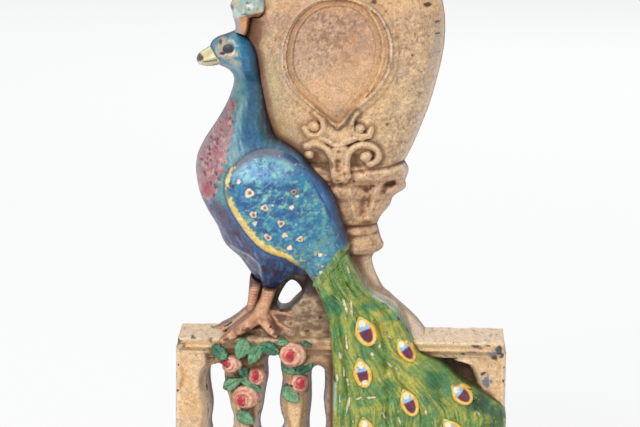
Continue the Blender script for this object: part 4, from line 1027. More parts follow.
def rose_paint():
    c = flat((226, 168, 140))
    hot = np.zeros(XX.shape)
    for i, (n, x0, z0, ra, rb, hx, hz, ha, hb) in enumerate(ROSES):
        r, rh, whorl, th = rose_uv[n]
        m = (rose_f[n] < 1.0)
        k = mix(flat((218, 156, 132)), rgb(236, 188, 160), smooth(whorl + 1.8 * (fbm(XX, ZZ, 1.2, 610 + i, 3) - 0.5), -0.2, 0.8))
        k = mix(k, rgb(184, 108, 92), smooth(-whorl + 1.6 * (noise(XX, ZZ, 1.0, 615 + i) - 0.5), 0.45, 1.0) * 0.6)
        k = mix(k, rgb(246, 214, 190), smooth(noise(XX, ZZ, 0.9, 620 + i), 0.6, 0.85) * 0.5)
        k = mix(k, rgb(196, 44, 66), 1 - smooth(rh + 0.25 * (noise(XX, ZZ, 0.6, 630 + i) - 0.5), 0.72, 0.95))
        k = mix(k, rgb(150, 22, 48), (1 - smooth(rh, 0.2, 0.5)) * 0.6)
        k = mix(k, rgb(206, 112, 104), smooth(rh, 0.9, 1.0) * (1 - smooth(rh, 1.1, 1.5)) * 0.55)
        k = mix(k, rgb(92, 84, 60), smooth(r, 0.90, 1.08) * 0.55)
        c = np.where(m[..., None], k, c)
    c = mix(c, rgb(120, 80, 70), smooth(noise(XX, ZZ, 0.6, 640), 0.84, 0.95) * 0.4)
    c = mix(c, rgb(64, 44, 44), 1 - smooth(np.hypot((XX + 16.2) / 0.9, (ZZ - 44.6) / 0.6) + 0.5 * (noise(XX, ZZ, 0.6, 641) - 0.5), 0.6, 1.0))
    return tone(c, 0.06, 0.6, 642)


def leaf_paint():
    c = flat((92, 142, 104))
    tn = leaf_tone % 3
    c = np.where((tn == 1)[..., None], rgb(58, 112, 88), c)
    c = np.where((tn == 2)[..., None], rgb(112, 158, 118), c)
    c = mix(c, rgb(146, 190, 148), smooth(fbm(XX, ZZ, 2.6, 650, 3), 0.46, 0.66) * 0.6)
    c = mix(c, rgb(40, 84, 64), smooth(fbm(XX, ZZ, 1.0, 651, 3), 0.55, 0.75) * 0.35)
    c = mix(c, rgb(44, 72, 54), smooth(f_leaf, -0.35, -0.05) * 0.55)
    c = mix(c, rgb(196, 160, 116), smooth(noise(XX, ZZ, 0.9, 652), 0.88, 0.95) * 0.7)
    return c


def leg_paint():
    c = flat((208, 154, 120))
    c = mix(c, rgb(230, 184, 148), smooth(fbm(XX, ZZ, 1.3, 660, 3), 0.48, 0.66) * 0.7)
    c = mix(c, rgb(156, 104, 80), smooth(fbm(XX, ZZ, 1.6, 661, 3), 0.54, 0.70) * 0.6)
    c = mix(c, rgb(168, 104, 80), smooth(np.cos(ZZ * 2 * np.pi / 0.95), 0.3, 0.9) * smooth(ZZ, 67, 70) * 0.35)
    mound = smooth(f_near, 0.1, 0.5) * (1 - smooth(ZZ, 66.5, 68.5))
    ridge = tube([(-31.2, 67.2), (-34.8, 64.4), (-39.2, 62.3), (-41.0, 61.6)])[0]
    c = mix(c, rgb(196, 170, 148), mound * smooth(ridge, 0.5, 1.1) * 0.95)
    c = mix(c, rgb(214, 186, 158), mound * smooth(ridge, 0.7, 1.2) * smooth(noise(XX, ZZ, 0.9, 664), 0.5, 0.8) * 0.8)
    edge = np.minimum(f_near, f_far)
    c = mix(c, rgb(112, 70, 56), smooth(edge, -0.6, 0.0) * 0.6)
    c = mix(c, rgb(60, 40, 52), smooth(ZZ, 75.5, 78.0) * 0.7)
    for x0, z0, r1, r2 in ((-31.5, 63.6, 1.4, 0.8), (-38.1, 60.8, 1.2, 0.7), (-22.0, 62.6, 0.9, 0.6)):
        c = mix(c, rgb(86, 64, 58), (1 - smooth(np.hypot((XX - x0) / r1, (ZZ - z0) / r2) + 0.7 * (noise(XX, ZZ, 0.7, 662) - 0.5), 0.5, 1.0)) * 0.85)
    c = mix(c, rgb(232, 190, 158), smooth(noise(XX, ZZ, 0.8, 663), 0.86, 0.95) * 0.5)
    return c


def beak_paint():
    c = mix(flat((232, 222, 172)), rgb(240, 232, 196), smooth(noise(XX, ZZ, 1.1, 670), 0.4, 0.7))
    c = mix(c, rgb(206, 186, 116), smooth(fbm(XX, ZZ, 1.2, 671, 3), 0.54, 0.68) * 0.7)
    c = mix(c, rgb(64, 54, 48), (1 - smooth(mouth, 0.12, 0.42)) * 0.9)
    tipd = np.hypot((XX + 48.8) / 1.25, (ZZ - 152.5) / 1.5)
    c = mix(c, rgb(72, 52, 52), 1 - smooth(tipd + 0.5 * (noise(XX, ZZ, 0.6, 672) - 0.5), 0.7, 1.0))
    c = mix(c, rgb(78, 50, 44), 1 - smooth(np.hypot((XX + 47.6) / 0.85, (ZZ - 152.8) / 0.7) + 0.4 * (noise(XX, ZZ, 0.5, 673) - 0.5), 0.6, 0.95))
    c = mix(c, rgb(196, 146, 60), (1 - smooth(tube([(-43.7, 152.0), (-42.5, 151.6), (-42.2, 150.7)])[0], 0.25, 0.6)) * 0.6)
    c = mix(c, rgb(176, 190, 160), smooth(s_beak, -0.6, 0.0) * smooth(-ZZ, -152, -150.6) * 0.7)
    return c


def crest_paint():
    c = mix(flat((150, 182, 176)), rgb(184, 204, 196), smooth(fbm(XX, ZZ, 1.8, 680, 3), 0.45, 0.62))
    c = mix(c, rgb(196, 176, 142), smooth(fbm(XX, ZZ, 1.7, 681, 3), 0.52, 0.64) * 0.85)
    c = mix(c, rgb(126, 156, 142), smooth(fbm(XX, ZZ, 2.2, 682, 3), 0.56, 0.68) * smooth(XX, -33, -29) * 0.6)
    c = mix(c, rgb(168, 176, 166), smooth(fbm(XX, ZZ, 1.3, 686, 3), 0.42, 0.6) * 0.55)
    c = mix(c, rgb(226, 228, 220), (1 - smooth(np.hypot((XX + 31.6) / 1.6, (ZZ - 170.8) / 1.4) + 0.6 * (noise(XX, ZZ, 0.7, 683) - 0.5), 0.6, 1.0)) * 0.85)
    c = mix(c, rgb(96, 100, 110), (1 - smooth(np.hypot((XX + 32.2) / 0.9, (ZZ - 171.8) / 0.6), 0.6, 1.0)) * 0.7)
    c = mix(c, rgb(120, 84, 62), smooth(noise(XX, ZZ, 0.8, 684), 0.76, 0.9) * 0.65)
    c = mix(c, rgb(90, 84, 92), (1 - smooth(np.hypot((XX + 37.6) / 1.0, (ZZ - 170.2) / 1.2), 0.5, 1.0)) * 0.7)
    st = smooth(-ZZ + 0.30 * (XX + 34), -167.6, -167.0)
    s2 = mix(flat((200, 146, 100)), rgb(180, 122, 80), smooth(noise(XX, ZZ, 1.6, 685, 4.0), 0.4, 0.7))
    s2 = mix(s2, rgb(168, 152, 150), 1 - smooth(XX + 0.16 * (ZZ - 160), -34.2, -33.5))
    s2 = mix(s2, rgb(120, 76, 54), smooth(XX, -33.0, -32.2) * 0.8)
    c = mix(c, s2, st)
    c = mix(c, rgb(112, 170, 176), (1 - smooth(ZZ, 159.6, 161.2)) * 0.8)
    return c


STONE = stone_paint()
URNC = urn_paint(STONE)
COLS = {"stone": STONE, "urn": URNC, "bird": bird_paint(), "wing": wing_paint(), "train": train_paint(), "eye": eye_paint(),
        "rose": rose_paint(), "leaf": leaf_paint(), "leg": leg_paint(), "beak": beak_paint(), "crest": crest_paint()}
SIDE = {"lat": (190, 178, 178), "post": (198, 176, 158), "stone": (196, 164, 136), "urn": (192, 160, 134), "bird": (112, 124, 146), "wing": (46, 70, 104), "train": (84, 116, 62), "eye": (176, 140, 60),
        "rose": (150, 100, 84), "leaf": (44, 78, 56), "leg": (150, 104, 84), "beak": (196, 186, 140), "crest": (140, 132, 126)}


def linear(c):
    c = clamp(c / 255.0)
    return np.where(c <= 0.04045, c / 12.92, ((c + 0.055) / 1.055) ** 2.4)


# ------------------------------------------------------------------ closed shells from height fields
def grid_sample(a, ax, az, x, z):
    hx, hz = ax[1] - ax[0], az[1] - az[0]
    fx = clamp((x - ax[0]) / hx, 0, len(ax) - 1.001)
    fz = clamp((z - az[0]) / hz, 0, len(az) - 1.001)
    ix, iz = fx.astype(int), fz.astype(int)
    tx, tz = fx - ix, fz - iz
    if a.ndim == 3:
        tx, tz = tx[:, None], tz[:, None]
    return (a[iz, ix] * (1 - tx) + a[iz, ix + 1] * tx) * (1 - tz) + (a[iz + 1, ix] * (1 - tx) + a[iz + 1, ix + 1] * tx) * tz


def make_mesh(name, co, quads, ngons, col, msk, mat, sharp=48):
    me = bpy.data.meshes.new(name)
    nq = len(quads)
    sizes = np.concatenate([np.full(nq, 4, np.int64), np.array([len(p) for p in ngons], np.int64)]) if len(ngons) else np.full(nq, 4, np.int64)
    flatv = np.concatenate([np.asarray(quads, np.int64).reshape(-1), np.array([v for p in ngons for v in p], np.int64)]) if len(ngons) else np.asarray(quads, np.int64).reshape(-1)
    starts = np.concatenate([[0], np.cumsum(sizes)[:-1]])
    me.vertices.add(len(co))
    me.vertices.foreach_set("co", (np.asarray(co, np.float32) * 0.001).reshape(-1))
    me.loops.add(len(flatv))
    me.loops.foreach_set("vertex_index", flatv.astype(np.int32))
    me.polygons.add(len(sizes))
    me.polygons.foreach_set("loop_start", starts.astype(np.int32))
    me.update(calc_edges=True)
    me.validate()
    a = me.color_attributes.new("Col", "FLOAT_COLOR", "POINT")
    b = me.color_attributes.new("Msk", "FLOAT_COLOR", "POINT")
    n = len(me.vertices)
    ca4, cb4 = np.ones((n, 4), np.float32), np.ones((n, 4), np.float32)
    ca4[:, :3] = linear(np.asarray(col))[:n]
    cb4[:, :3] = np.asarray(msk)[:n]
    a.data.foreach_set("color", ca4.reshape(-1))
    b.data.foreach_set("color", cb4.reshape(-1))
    me.polygons.foreach_set("use_smooth", np.ones(len(me.polygons), bool))
    me.set_sharp_from_angle(angle=math.radians(sharp))
    me.materials.append(mat)
    ob = bpy.data.objects.new(name, me)
    bpy.context.scene.collection.objects.link(ob)
    return ob


def shell(name, f, H, B, col, side, mat, to3=None, ax=GX, az=GZ, K=3, min_quads=24, wall=2.2, cav=None, edge=None, flare=0.0):
    """A closed solid: front at height H over outline f < 0, back at B, walls between."""
    h = ax[1] - ax[0]
    fc = (f[:-1, :-1] + f[1:, :-1] + f[:-1, 1:] + f[1:, 1:]) / 4
    keep = fc < 0
    rows, cols = np.where(keep)
    r0, r1, c0, c1 = max(rows.min() - 2, 0), min(rows.max() + 3, keep.shape[0]), max(cols.min() - 2, 0), min(cols.max() + 3, keep.shape[1])
    keep = keep[r0:r1, c0:c1].copy()
    keep[0, :] = keep[-1, :] = False
    keep[:, 0] = keep[:, -1] = False
    # drop specks and slivers
    lab = np.zeros(keep.shape, int)
    k = 0
    for sr, sc_ in zip(*np.where(keep)):
        if lab[sr, sc_]:
            continue
        k += 1
        todo, cells = [(sr, sc_)], []
        lab[sr, sc_] = k
        while todo:
            a, b = todo.pop()
            cells.append((a, b))
            for p, q in ((a + 1, b), (a - 1, b), (a, b + 1), (a, b - 1)):
                if keep[p, q] and not lab[p, q]:
                    lab[p, q] = k
                    todo.append((p, q))
        if len(cells) < min_quads:
            for a, b in cells:
                keep[a, b] = False
    # no two quads may meet at a corner only
    for _ in range(6):
        a, b, c, d = keep[:-1, :-1], keep[:-1, 1:], keep[1:, :-1], keep[1:, 1:]
        p1 = a & d & ~b & ~c
        p2 = b & c & ~a & ~d
        if not (p1.any() or p2.any()):
            break
        keep[:-1, 1:] |= p1
        keep[:-1, :-1] |= p2
    nr, nc = keep.shape
    used = np.zeros((nr + 1, nc + 1), bool)
    used[:-1, :-1] |= keep
    used[1:, :-1] |= keep
    used[:-1, 1:] |= keep
    used[1:, 1:] |= keep
    full = np.zeros((nr + 1, nc + 1), bool)
    full[1:-1, 1:-1] = keep[:-1, :-1] & keep[1:, :-1] & keep[:-1, 1:] & keep[1:, 1:]
    bound = used & ~full
    idx = np.full(used.shape, -1)
    idx[used] = np.arange(used.sum())
    jj, ii = np.where(used)
    X0, Z0 = ax[c0 + ii], az[r0 + jj]
    gz, gx = np.gradient(f, az, ax)
    bm = bound[jj, ii]
    bx, bz = X0[bm].copy(), Z0[bm].copy()
    for _ in range(4):
        fv = grid_sample(f, ax, az, bx, bz)
        a, b = grid_sample(gx, ax, az, bx, bz), grid_sample(gz, ax, az, bx, bz)
        g2 = np.maximum(a * a + b * b, 0.25)
        bx, bz = bx - 0.9 * fv * a / g2, bz - 0.9 * fv * b / g2
        bx = clamp(bx, X0[bm] - 0.72 * h, X0[bm] + 0.72 * h)
        bz = clamp(bz, Z0[bm] - 0.72 * h, Z0[bm] + 0.72 * h)
    D = np.zeros(used.shape + (2,))
    D[jj[bm], ii[bm], 0] = bx - X0[bm]
    D[jj[bm], ii[bm], 1] = bz - Z0[bm]
    fixed = bound
    for _ in range(3):
        avg = np.zeros_like(D)
        cnt = np.zeros(used.shape)
        for dz, dx in ((1, 0), (-1, 0), (0, 1), (0, -1)):
            sh = np.roll(D, (dz, dx), (0, 1))
            us = np.roll(used, (dz, dx), (0, 1))
            avg += sh * us[..., None]
            cnt += us
        avg /= np.maximum(cnt, 1)[..., None]
        D = np.where((fixed | ~used)[..., None], D, 0.85 * avg)
    px, pz = X0 + D[jj, ii, 0], Z0 + D[jj, ii, 1]
    # boundary loops
    qr, qc = np.where(keep)
    nxt = {}
    for a, b in zip(qr, qc):
        if not keep[a - 1, b]:
            nxt[idx[a, b]] = idx[a, b + 1]
        if not keep[a, b + 1]:
            nxt[idx[a, b + 1]] = idx[a + 1, b + 1]
        if not keep[a + 1, b]:
            nxt[idx[a + 1, b + 1]] = idx[a + 1, b]
        if not keep[a, b - 1]:
            nxt[idx[a + 1, b]] = idx[a, b]
    loops, seen = [], set()
    for s0 in nxt:
        if s0 in seen:
            continue
        lp, v = [], s0
        while v not in seen:
            seen.add(v)
            lp.append(v)
            v = nxt[v]
        loops.append(np.array(lp))
    for lp in loops:
        for _ in range(2):
            px[lp] = 0.5 * px[lp] + 0.25 * (px[np.roll(lp, 1)] + px[np.roll(lp, -1)])
            pz[lp] = 0.5 * pz[lp] + 0.25 * (pz[np.roll(lp, 1)] + pz[np.roll(lp, -1)])
    hf = grid_sample(H, ax, az, px, pz)
    hb = grid_sample(B, ax, az, px, pz)
    for lp in loops:
        for _ in range(3):
            hf[lp] = 0.5 * hf[lp] + 0.25 * (hf[np.roll(lp, 1)] + hf[np.roll(lp, -1)])
            hb[lp] = 0.5 * hb[lp] + 0.25 * (hb[np.roll(lp, 1)] + hb[np.roll(lp, -1)])
    hf = np.maximum(hf, hb + 0.6)
    n = len(px)
    vx, vz, vh = [px], [pz], [hf]
    ccol = grid_sample(col, ax, az, px, pz)
    cvg = grid_sample(cav if cav is not None else CAV, ax, az, px, pz)
    edg = grid_sample(edge if edge is not None else EDGE, ax, az, px, pz)
    vc = [ccol]
    vm = [np.stack([cvg, edg, np.zeros(n)], 1)]
    quads = []
    f00, f01, f11, f10 = idx[qr, qc], idx[qr, qc + 1], idx[qr + 1, qc + 1], idx[qr + 1, qc]
    quads.append(np.stack([f00, f01, f11, f10], 1))
    # back: whole blocks of K x K quads become one polygon
    nbr, nbc = nr // K, nc // K
    blk = np.zeros((nbr + 2, nbc + 2), bool)
    blk[1:-1, 1:-1] = keep[:nbr * K, :nbc * K].reshape(nbr, K, nbc, K).all((1, 3))
    big = np.zeros(keep.shape, bool)
    big[:nbr * K, :nbc * K] = np.repeat(np.repeat(blk[1:-1, 1:-1], K, 0), K, 1)
    bidx = np.full(used.shape, -1)
    need = np.zeros(used.shape, bool)
    fq = keep & ~big
    need[:-1, :-1] |= fq
    need[1:, :-1] |= fq
    need[:-1, 1:] |= fq
    need[1:, 1:] |= fq
    for a, b in zip(*np.where(blk[1:-1, 1:-1])):
        for p in (a * K, a * K + K):
            for q in (b * K, b * K + K):
                need[p, q] = True
    need |= bound
    need &= used
    bj, bi = np.where(need)
    bidx[bj, bi] = n + np.arange(len(bj))
    src = idx[bj, bi]
    vx.append(px[src])
    vz.append(pz[src])
    vh.append(hb[src])
    vc.append(np.tile(np.array([[74.0, 60.0, 52.0]]), (len(src), 1)))
    vm.append(np.stack([np.zeros(len(src)), np.zeros(len(src)), np.ones(len(src))], 1))
    br_, bc_ = np.where(fq)
    quads.append(np.stack([bidx[br_, bc_], bidx[br_ + 1, bc_], bidx[br_ + 1, bc_ + 1], bidx[br_, bc_ + 1]], 1))
    ngons = []
    for a, b in zip(*np.where(blk[1:-1, 1:-1])):
        p, q = a * K, b * K
        ring = []
        ring.append(bidx[p, q])
        if not blk[a + 1, b]:
            ring += [bidx[p + t, q] for t in range(1, K)]
        ring.append(bidx[p + K, q])
        if not blk[a + 2, b + 1]:
            ring += [bidx[p + K, q + t] for t in range(1, K)]
        ring.append(bidx[p + K, q + K])
        if not blk[a + 1, b + 2]:
            ring += [bidx[p + K - t, q + K] for t in range(1, K)]
        ring.append(bidx[p, q + K])
        if not blk[a, b + 1]:
            ring += [bidx[p, q + K - t] for t in range(1, K)]
        ngons.append([v for v in ring if v >= 0])
    total = n + len(src)
    back_of = np.full(n, -1)
    back_of[src] = n + np.arange(len(src))
    for lp in loops:
        gap = float((hf[lp] - hb[lp]).max())
        m = int(min(max(round(gap / wall), 1), 8))
        ring_prev = lp
        nx_, nz_ = np.zeros(len(lp)), np.zeros(len(lp))
        for t in range(1, m + 1):
            if t == m:
                ring = back_of[lp]
            else:
                s = t / m
                ring = total + np.arange(len(lp))
                total += len(lp)
                vx.append(px[lp])
                vz.append(pz[lp])
                vh.append(hf[lp] * (1 - s) + hb[lp] * s)
                k = 0.45 + 0.45 * s
                sd = side(px[lp], pz[lp], s) if callable(side) else np.array(side, float)
                vc.append(ccol[lp] * (1 - k) + sd * k * (0.92 + 0.16 * noise(px[lp], pz[lp] + 7.7 * t, 1.3, 700)[:, None]))
                vm.append(np.stack([cvg[lp] * (1 - s), edg[lp] * 0.3, np.full(len(lp), 0.0 if s < 0.75 else 0.12)], 1))
            nr_ = np.roll(ring, -1)
            np_ = np.roll(ring_prev, -1)
            quads.append(np.stack([ring_prev, ring, nr_, np_], 1))
            ring_prev = ring
    x, z, hh = np.concatenate(vx), np.concatenate(vz), np.concatenate(vh)
    co = to3(x, z, hh) if to3 else np.stack([x, BY - hh, z], 1)
    return make_mesh(name, co, np.concatenate(quads), ngons, np.concatenate(vc), np.concatenate(vm), mat)


# ------------------------------------------------------------------ materials
def painted(name, rough=0.5, coat=0.15, grain=0.12, grain_size=1500.0, bump=0.25, chip=0.70, dirt=(0.075, 0.04, 0.022), under=(0.06, 0.045, 0.04)):
    m = bpy.data.materials.new(name)
    m.use_nodes = True
    nt = m.node_tree
    nt.nodes.clear()
    N, L = nt.nodes.new, nt.links.new
    out, bs = N("ShaderNodeOutputMaterial"), N("ShaderNodeBsdfPrincipled")
    L(bs.outputs[0], out.inputs[0])
    col, msk = N("ShaderNodeAttribute"), N("ShaderNodeAttribute")
    col.attribute_name, msk.attribute_name = "Col", "Msk"
    sep = N("ShaderNodeSeparateColor")
    L(msk.outputs["Color"], sep.inputs[0])
    tc = N("ShaderNodeTexCoord")

    def tex(scale, detail=3.0, rough_=0.55):
        t = N("ShaderNodeTexNoise")
        t.inputs["Scale"].default_value = scale
        t.inputs["Detail"].default_value = detail
        t.inputs["Roughness"].default_value = rough_
        L(tc.outputs["Object"], t.inputs["Vector"])
        return t.outputs["Fac"]

    def math_(op, a, b=0.0, c=0.0):
        t = N("ShaderNodeMath")
        t.operation = op
        for i, v in enumerate((a, b, c)):
            if i < len(t.inputs):
                if isinstance(v, (int, float)):
                    t.inputs[i].default_value = v
                else:
                    L(v, t.inputs[i])
        return t.outputs[0]

    def ramp(v, lo, hi, a=0.0, b=1.0):
        t = N("ShaderNodeMapRange")
        t.interpolation_type = "SMOOTHSTEP"
        L(v, t.inputs["Value"])
        for k, x in (("From Min", lo), ("From Max", hi), ("To Min", a), ("To Max", b)):
            t.inputs[k].default_value = x
        return t.outputs[0]

    def mixc(fac, a, b, mode="MIX"):
        t = N("ShaderNodeMix")
        t.data_type = "RGBA"
        t.blend_type = mode
        if isinstance(fac, (int, float)):
            t.inputs[0].default_value = fac
        else:
            L(fac, t.inputs[0])
        for sock, v in ((t.inputs[6], a), (t.inputs[7], b)):
            if isinstance(v, tuple):
                sock.default_value = (*v, 1.0)
            else:
                L(v, sock)
        return t.outputs[2]

    fine, mid, coarse = tex(grain_size, 3.0), tex(420.0, 4.0), tex(95.0, 3.0)
    g = ramp(fine, 0.28, 0.72, 1.0 - grain, 1.0 + grain)
    gm = ramp(mid, 0.3, 0.7, 1.0 - grain * 0.5, 1.0 + grain * 0.5)
    vec = N("ShaderNodeCombineColor")
    gg = math_("MULTIPLY", g, gm)
    for i in range(3):
        L(gg, vec.inputs[i])
    c = mixc(1.0, col.outputs["Color"], vec.outputs[0], "MULTIPLY")
    dm = math_("MULTIPLY", ramp(sep.outputs[0], 0.10, 0.75), ramp(mid, 0.30, 0.62, 0.35, 1.0))
    c = mixc(math_("MULTIPLY", dm, 0.55), c, dirt)
    # flaked edges show the primer and then iron
    ce = math_("ADD", tex(360.0, 5.0, 0.62), math_("MULTIPLY", sep.outputs[1], 0.22))
    cm = ramp(ce, chip, chip + 0.02)
    c = mixc(cm, c, under)
    # the unworked back: iron, brown with thin overspray
    rust = mixc(ramp(mid, 0.42, 0.60), (0.070, 0.052, 0.044), (0.135, 0.078, 0.048))
    rust = mixc(ramp(coarse, 0.50, 0.66, 0.0, 0.55), rust, (0.24, 0.18, 0.135))
    c = mixc(sep.outputs[2], c, rust)
    L(c, bs.inputs["Base Color"])
    r = math_("ADD", ramp(mid, 0.3, 0.7, rough - 0.08, rough + 0.10), math_("MULTIPLY", sep.outputs[2], 0.22))
    r = math_("ADD", r, math_("MULTIPLY", cm, 0.15))
    L(r, bs.inputs["Roughness"])
    bs.inputs["Coat Weight"].default_value = coat
    bs.inputs["Coat Roughness"].default_value = 0.28
    bs.inputs["Specular IOR Level"].default_value = 0.42
    bp = N("ShaderNodeBump")
    bp.inputs["Strength"].default_value = bump
    bp.inputs["Distance"].default_value = 0.0003
    hsum = math_("ADD", math_("MULTIPLY", fine, 0.6), math_("MULTIPLY", mid, 0.9))
    hsum = math_("SUBTRACT", hsum, math_("MULTIPLY", cm, 0.35))
    L(hsum, bp.inputs["Height"])
    L(bp.outputs[0], bs.inputs["Normal"])
    return m


MAT = {"stone": painted("stone_paint", 0.62, 0.05, 0.17, 1700.0, 0.45, 0.80),
       "urn": painted("stone_paint_urn", 0.60, 0.06, 0.20, 1700.0, 0.45, 0.82),
       "bird": painted("peacock_paint", 0.42, 0.28, 0.17, 1300.0, 0.20, 0.88),
       "wing": painted("wing_paint", 0.40, 0.32, 0.15, 1300.0, 0.22, 0.88),
       "train": painted("train_paint", 0.42, 0.30, 0.14, 1500.0, 0.20, 0.78),
       "eye": painted("eye_spot_paint", 0.38, 0.36, 0.06, 1500.0, 0.15, 0.80),
       "rose": painted("rose_paint", 0.50, 0.15, 0.08, 1500.0, 0.22, 0.78),
       "leaf": painted("leaf_paint", 0.50, 0.15, 0.10, 1500.0, 0.22, 0.78),
       "leg": painted("leg_paint", 0.50, 0.15, 0.10, 1500.0, 0.25, 0.77),
       "beak": painted("beak_paint", 0.45, 0.2, 0.07, 1500.0, 0.20, 0.80),
       "crest": painted("crest_paint", 0.48, 0.2, 0.10, 1500.0, 0.28, 0.80)}


def rubber(name):
    m = bpy.data.materials.new(name)
    m.use_nodes = True
    nt = m.node_tree
    bs = nt.nodes["Principled BSDF"]
    tc, t = nt.nodes.new("ShaderNodeTexCoord"), nt.nodes.new("ShaderNodeTexNoise")
    t.inputs["Scale"].default_value = 1400.0
    nt.links.new(tc.outputs["Object"], t.inputs["Vector"])
    mr = nt.nodes.new("ShaderNodeMix")
    mr.data_type = "RGBA"
    mr.inputs[6].default_value = (0.018, 0.017, 0.016, 1)
    mr.inputs[7].default_value = (0.050, 0.046, 0.042, 1)
    nt.links.new(t.outputs["Fac"], mr.inputs[0])
    nt.links.new(mr.outputs[2], bs.inputs["Base Color"])
    bs.inputs["Roughness"].default_value = 0.78
    bp = nt.nodes.new("ShaderNodeBump")
    bp.inputs["Strength"].default_value = 0.3
    bp.inputs["Distance"].default_value = 0.0001
    nt.links.new(t.outputs["Fac"], bp.inputs["Height"])
    nt.links.new(bp.outputs[0], bs.inputs["Normal"])
    return m


RUBBER = rubber("bumper_rubber")


def put(ob, slot_name, *nodes):
    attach(ob, "root")
    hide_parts(*nodes)
    return ob


# ------------------------------------------------------------------ assemble the relief
holes = -s_hole


def without(f, *others):
    for o in others:
        f = np.maximum(f, -o)
    return f


def train_side(x, z, s):
    """The train's wall: green by the front, bare tan paint behind it at the upper right."""
    t = smooth(x, 2.0, 6.0) * smooth(z, 56.0, 62.0) * (0.15 + 0.85 * smooth(s, 0.12, 0.5))
    return mix(np.broadcast_to(rgb(84, 116, 62), x.shape + (3,)), rgb(214, 180, 150), t)


def back_for(H, depth=1.4):
    return clamp(np.minimum(HOLLOW, H - depth), 0, 60)


front_cut = (s_bird, s_beak, s_train, s_crest)
legs_f = np.minimum(f_near, f_far)
f_u = without(np.maximum(f_urn, holes), *front_cut)
bands = (("urn_foot", 60.9, 87.6), ("urn_collar", 87.6, 97.4), ("urn_cup", 97.4, 111.7), ("urn_shelf", 111.7, 118.9), ("urn_body", 118.9, 182.6),
         ("urn_rim", 182.6, 190.2))
for n, z0, z1 in bands:
    f = np.maximum(f_u, np.maximum(z0 - ZZ, ZZ - z1))
    if n == "urn_foot":
            f = without(f, legs_f + 1.0)
    put(shell(n + "_cast", f, np.maximum(H_urn, 0.9), back_for(np.maximum(H_urn, 0.9)), COLS["urn"], SIDE["urn"], MAT["urn"], min_quads=60), "stone_paint", n)

lat = {"left_post": (f_lpost, H_post), "baluster_1": (f_b1, H_bal), "baluster_2": (f_b2, H_bal), "baluster_3": (f_b3, H_bal), "right_post": (f_rpost, H_rp)}
for n, (f, hh) in lat.items():
    put(shell(n + "_cast", f, hh, np.maximum(back_for(hh, 2.0) * (RIM > 3.2), 0.15), COLS["stone"], SIDE["lat" if "baluster" in n else "post"], MAT["stone"], min_quads=60), "stone_paint", n)

put(shell("peacock_body_cast", f_bird, np.maximum(H_bird, 0.9), back_for(H_bird), COLS["bird"], SIDE["bird"], MAT["bird"], min_quads=60), "peacock_paint", "peacock_body")
put(shell("beak_cast", f_beak, np.maximum(H_beak, 1.0), np.zeros(XX.shape), COLS["beak"], SIDE["beak"], MAT["beak"], min_quads=30), "beak_paint", "beak")
put(shell("crest_cast", f_crest, H_crest, back_for(H_crest), COLS["crest"], SIDE["crest"], MAT["crest"], min_quads=40), "crest_paint", "crest")
put(shell("train_cast", f_train, H_train, np.where(ZZ < 13.8, 1.2, np.maximum(back_for(H_train), 0.1)), COLS["train"], train_side, MAT["train"], min_quads=60), "train_paint", "train")
B_leg = np.where(ZZ > 62.6, 2.0, 18.6)
put(shell("near_leg_cast", f_near, H_near, np.minimum(B_leg, H_near - 1.2), COLS["leg"], SIDE["leg"], MAT["leg"], min_quads=40), "leg_paint", "near_leg")
put(shell("far_leg_cast", f_far, H_far, np.minimum(np.where(ZZ > 62.6, 2.0, 12.0), H_far - 1.2), COLS["leg"], SIDE["leg"], MAT["leg"], min_quads=40), "leg_paint", "far_leg")

# worked ornaments laid over the masses
put(shell("peacock_wing_cast", f_wing, H_wing, np.minimum(np.minimum(under, under_s) - 1.0, H_wing - 1.6), COLS["wing"], SIDE["wing"], MAT["wing"]), "wing_paint", "peacock_wing")
front_f = np.minimum(np.minimum(s_bird, s_train), s_crest)
put(shell("urn_medallion_cast", without(f_band, front_f), H_band, H_urn - 0.9, COLS["urn"], SIDE["urn"], MAT["urn"]), "stone_paint", "urn_medallion")
put(shell("urn_scrolls_cast", without(f_scr, front_f), H_scr, H_urn - 0.9, COLS["urn"], SIDE["urn"], MAT["urn"]), "stone_paint", "urn_scrolls")
put(shell("train_eyes_cast", f_eye, H_eye, H_eye - 1.9, COLS["eye"], SIDE["eye"], MAT["eye"]), "eye_spot_paint", "train_eyes")
for n in rose_f:
    lo = 19.0 if n == "rose_4" else (17.4 if n == "rose_1" else 12.6)
    put(shell(n + "_cast", rose_f[n], rose_h[n], np.full(XX.shape, lo), COLS["rose"], SIDE["rose"], MAT["rose"]), "rose_paint", n)
B_leaf = np.where(ZZ > 53.2, 18.2, 13.6)
put(shell("rose_leaves_cast", f_leaf, H_leaf, np.minimum(B_leaf, H_leaf - 1.0), COLS["leaf"], SIDE["leaf"], MAT["leaf"]), "leaf_paint", "rose_leaves")


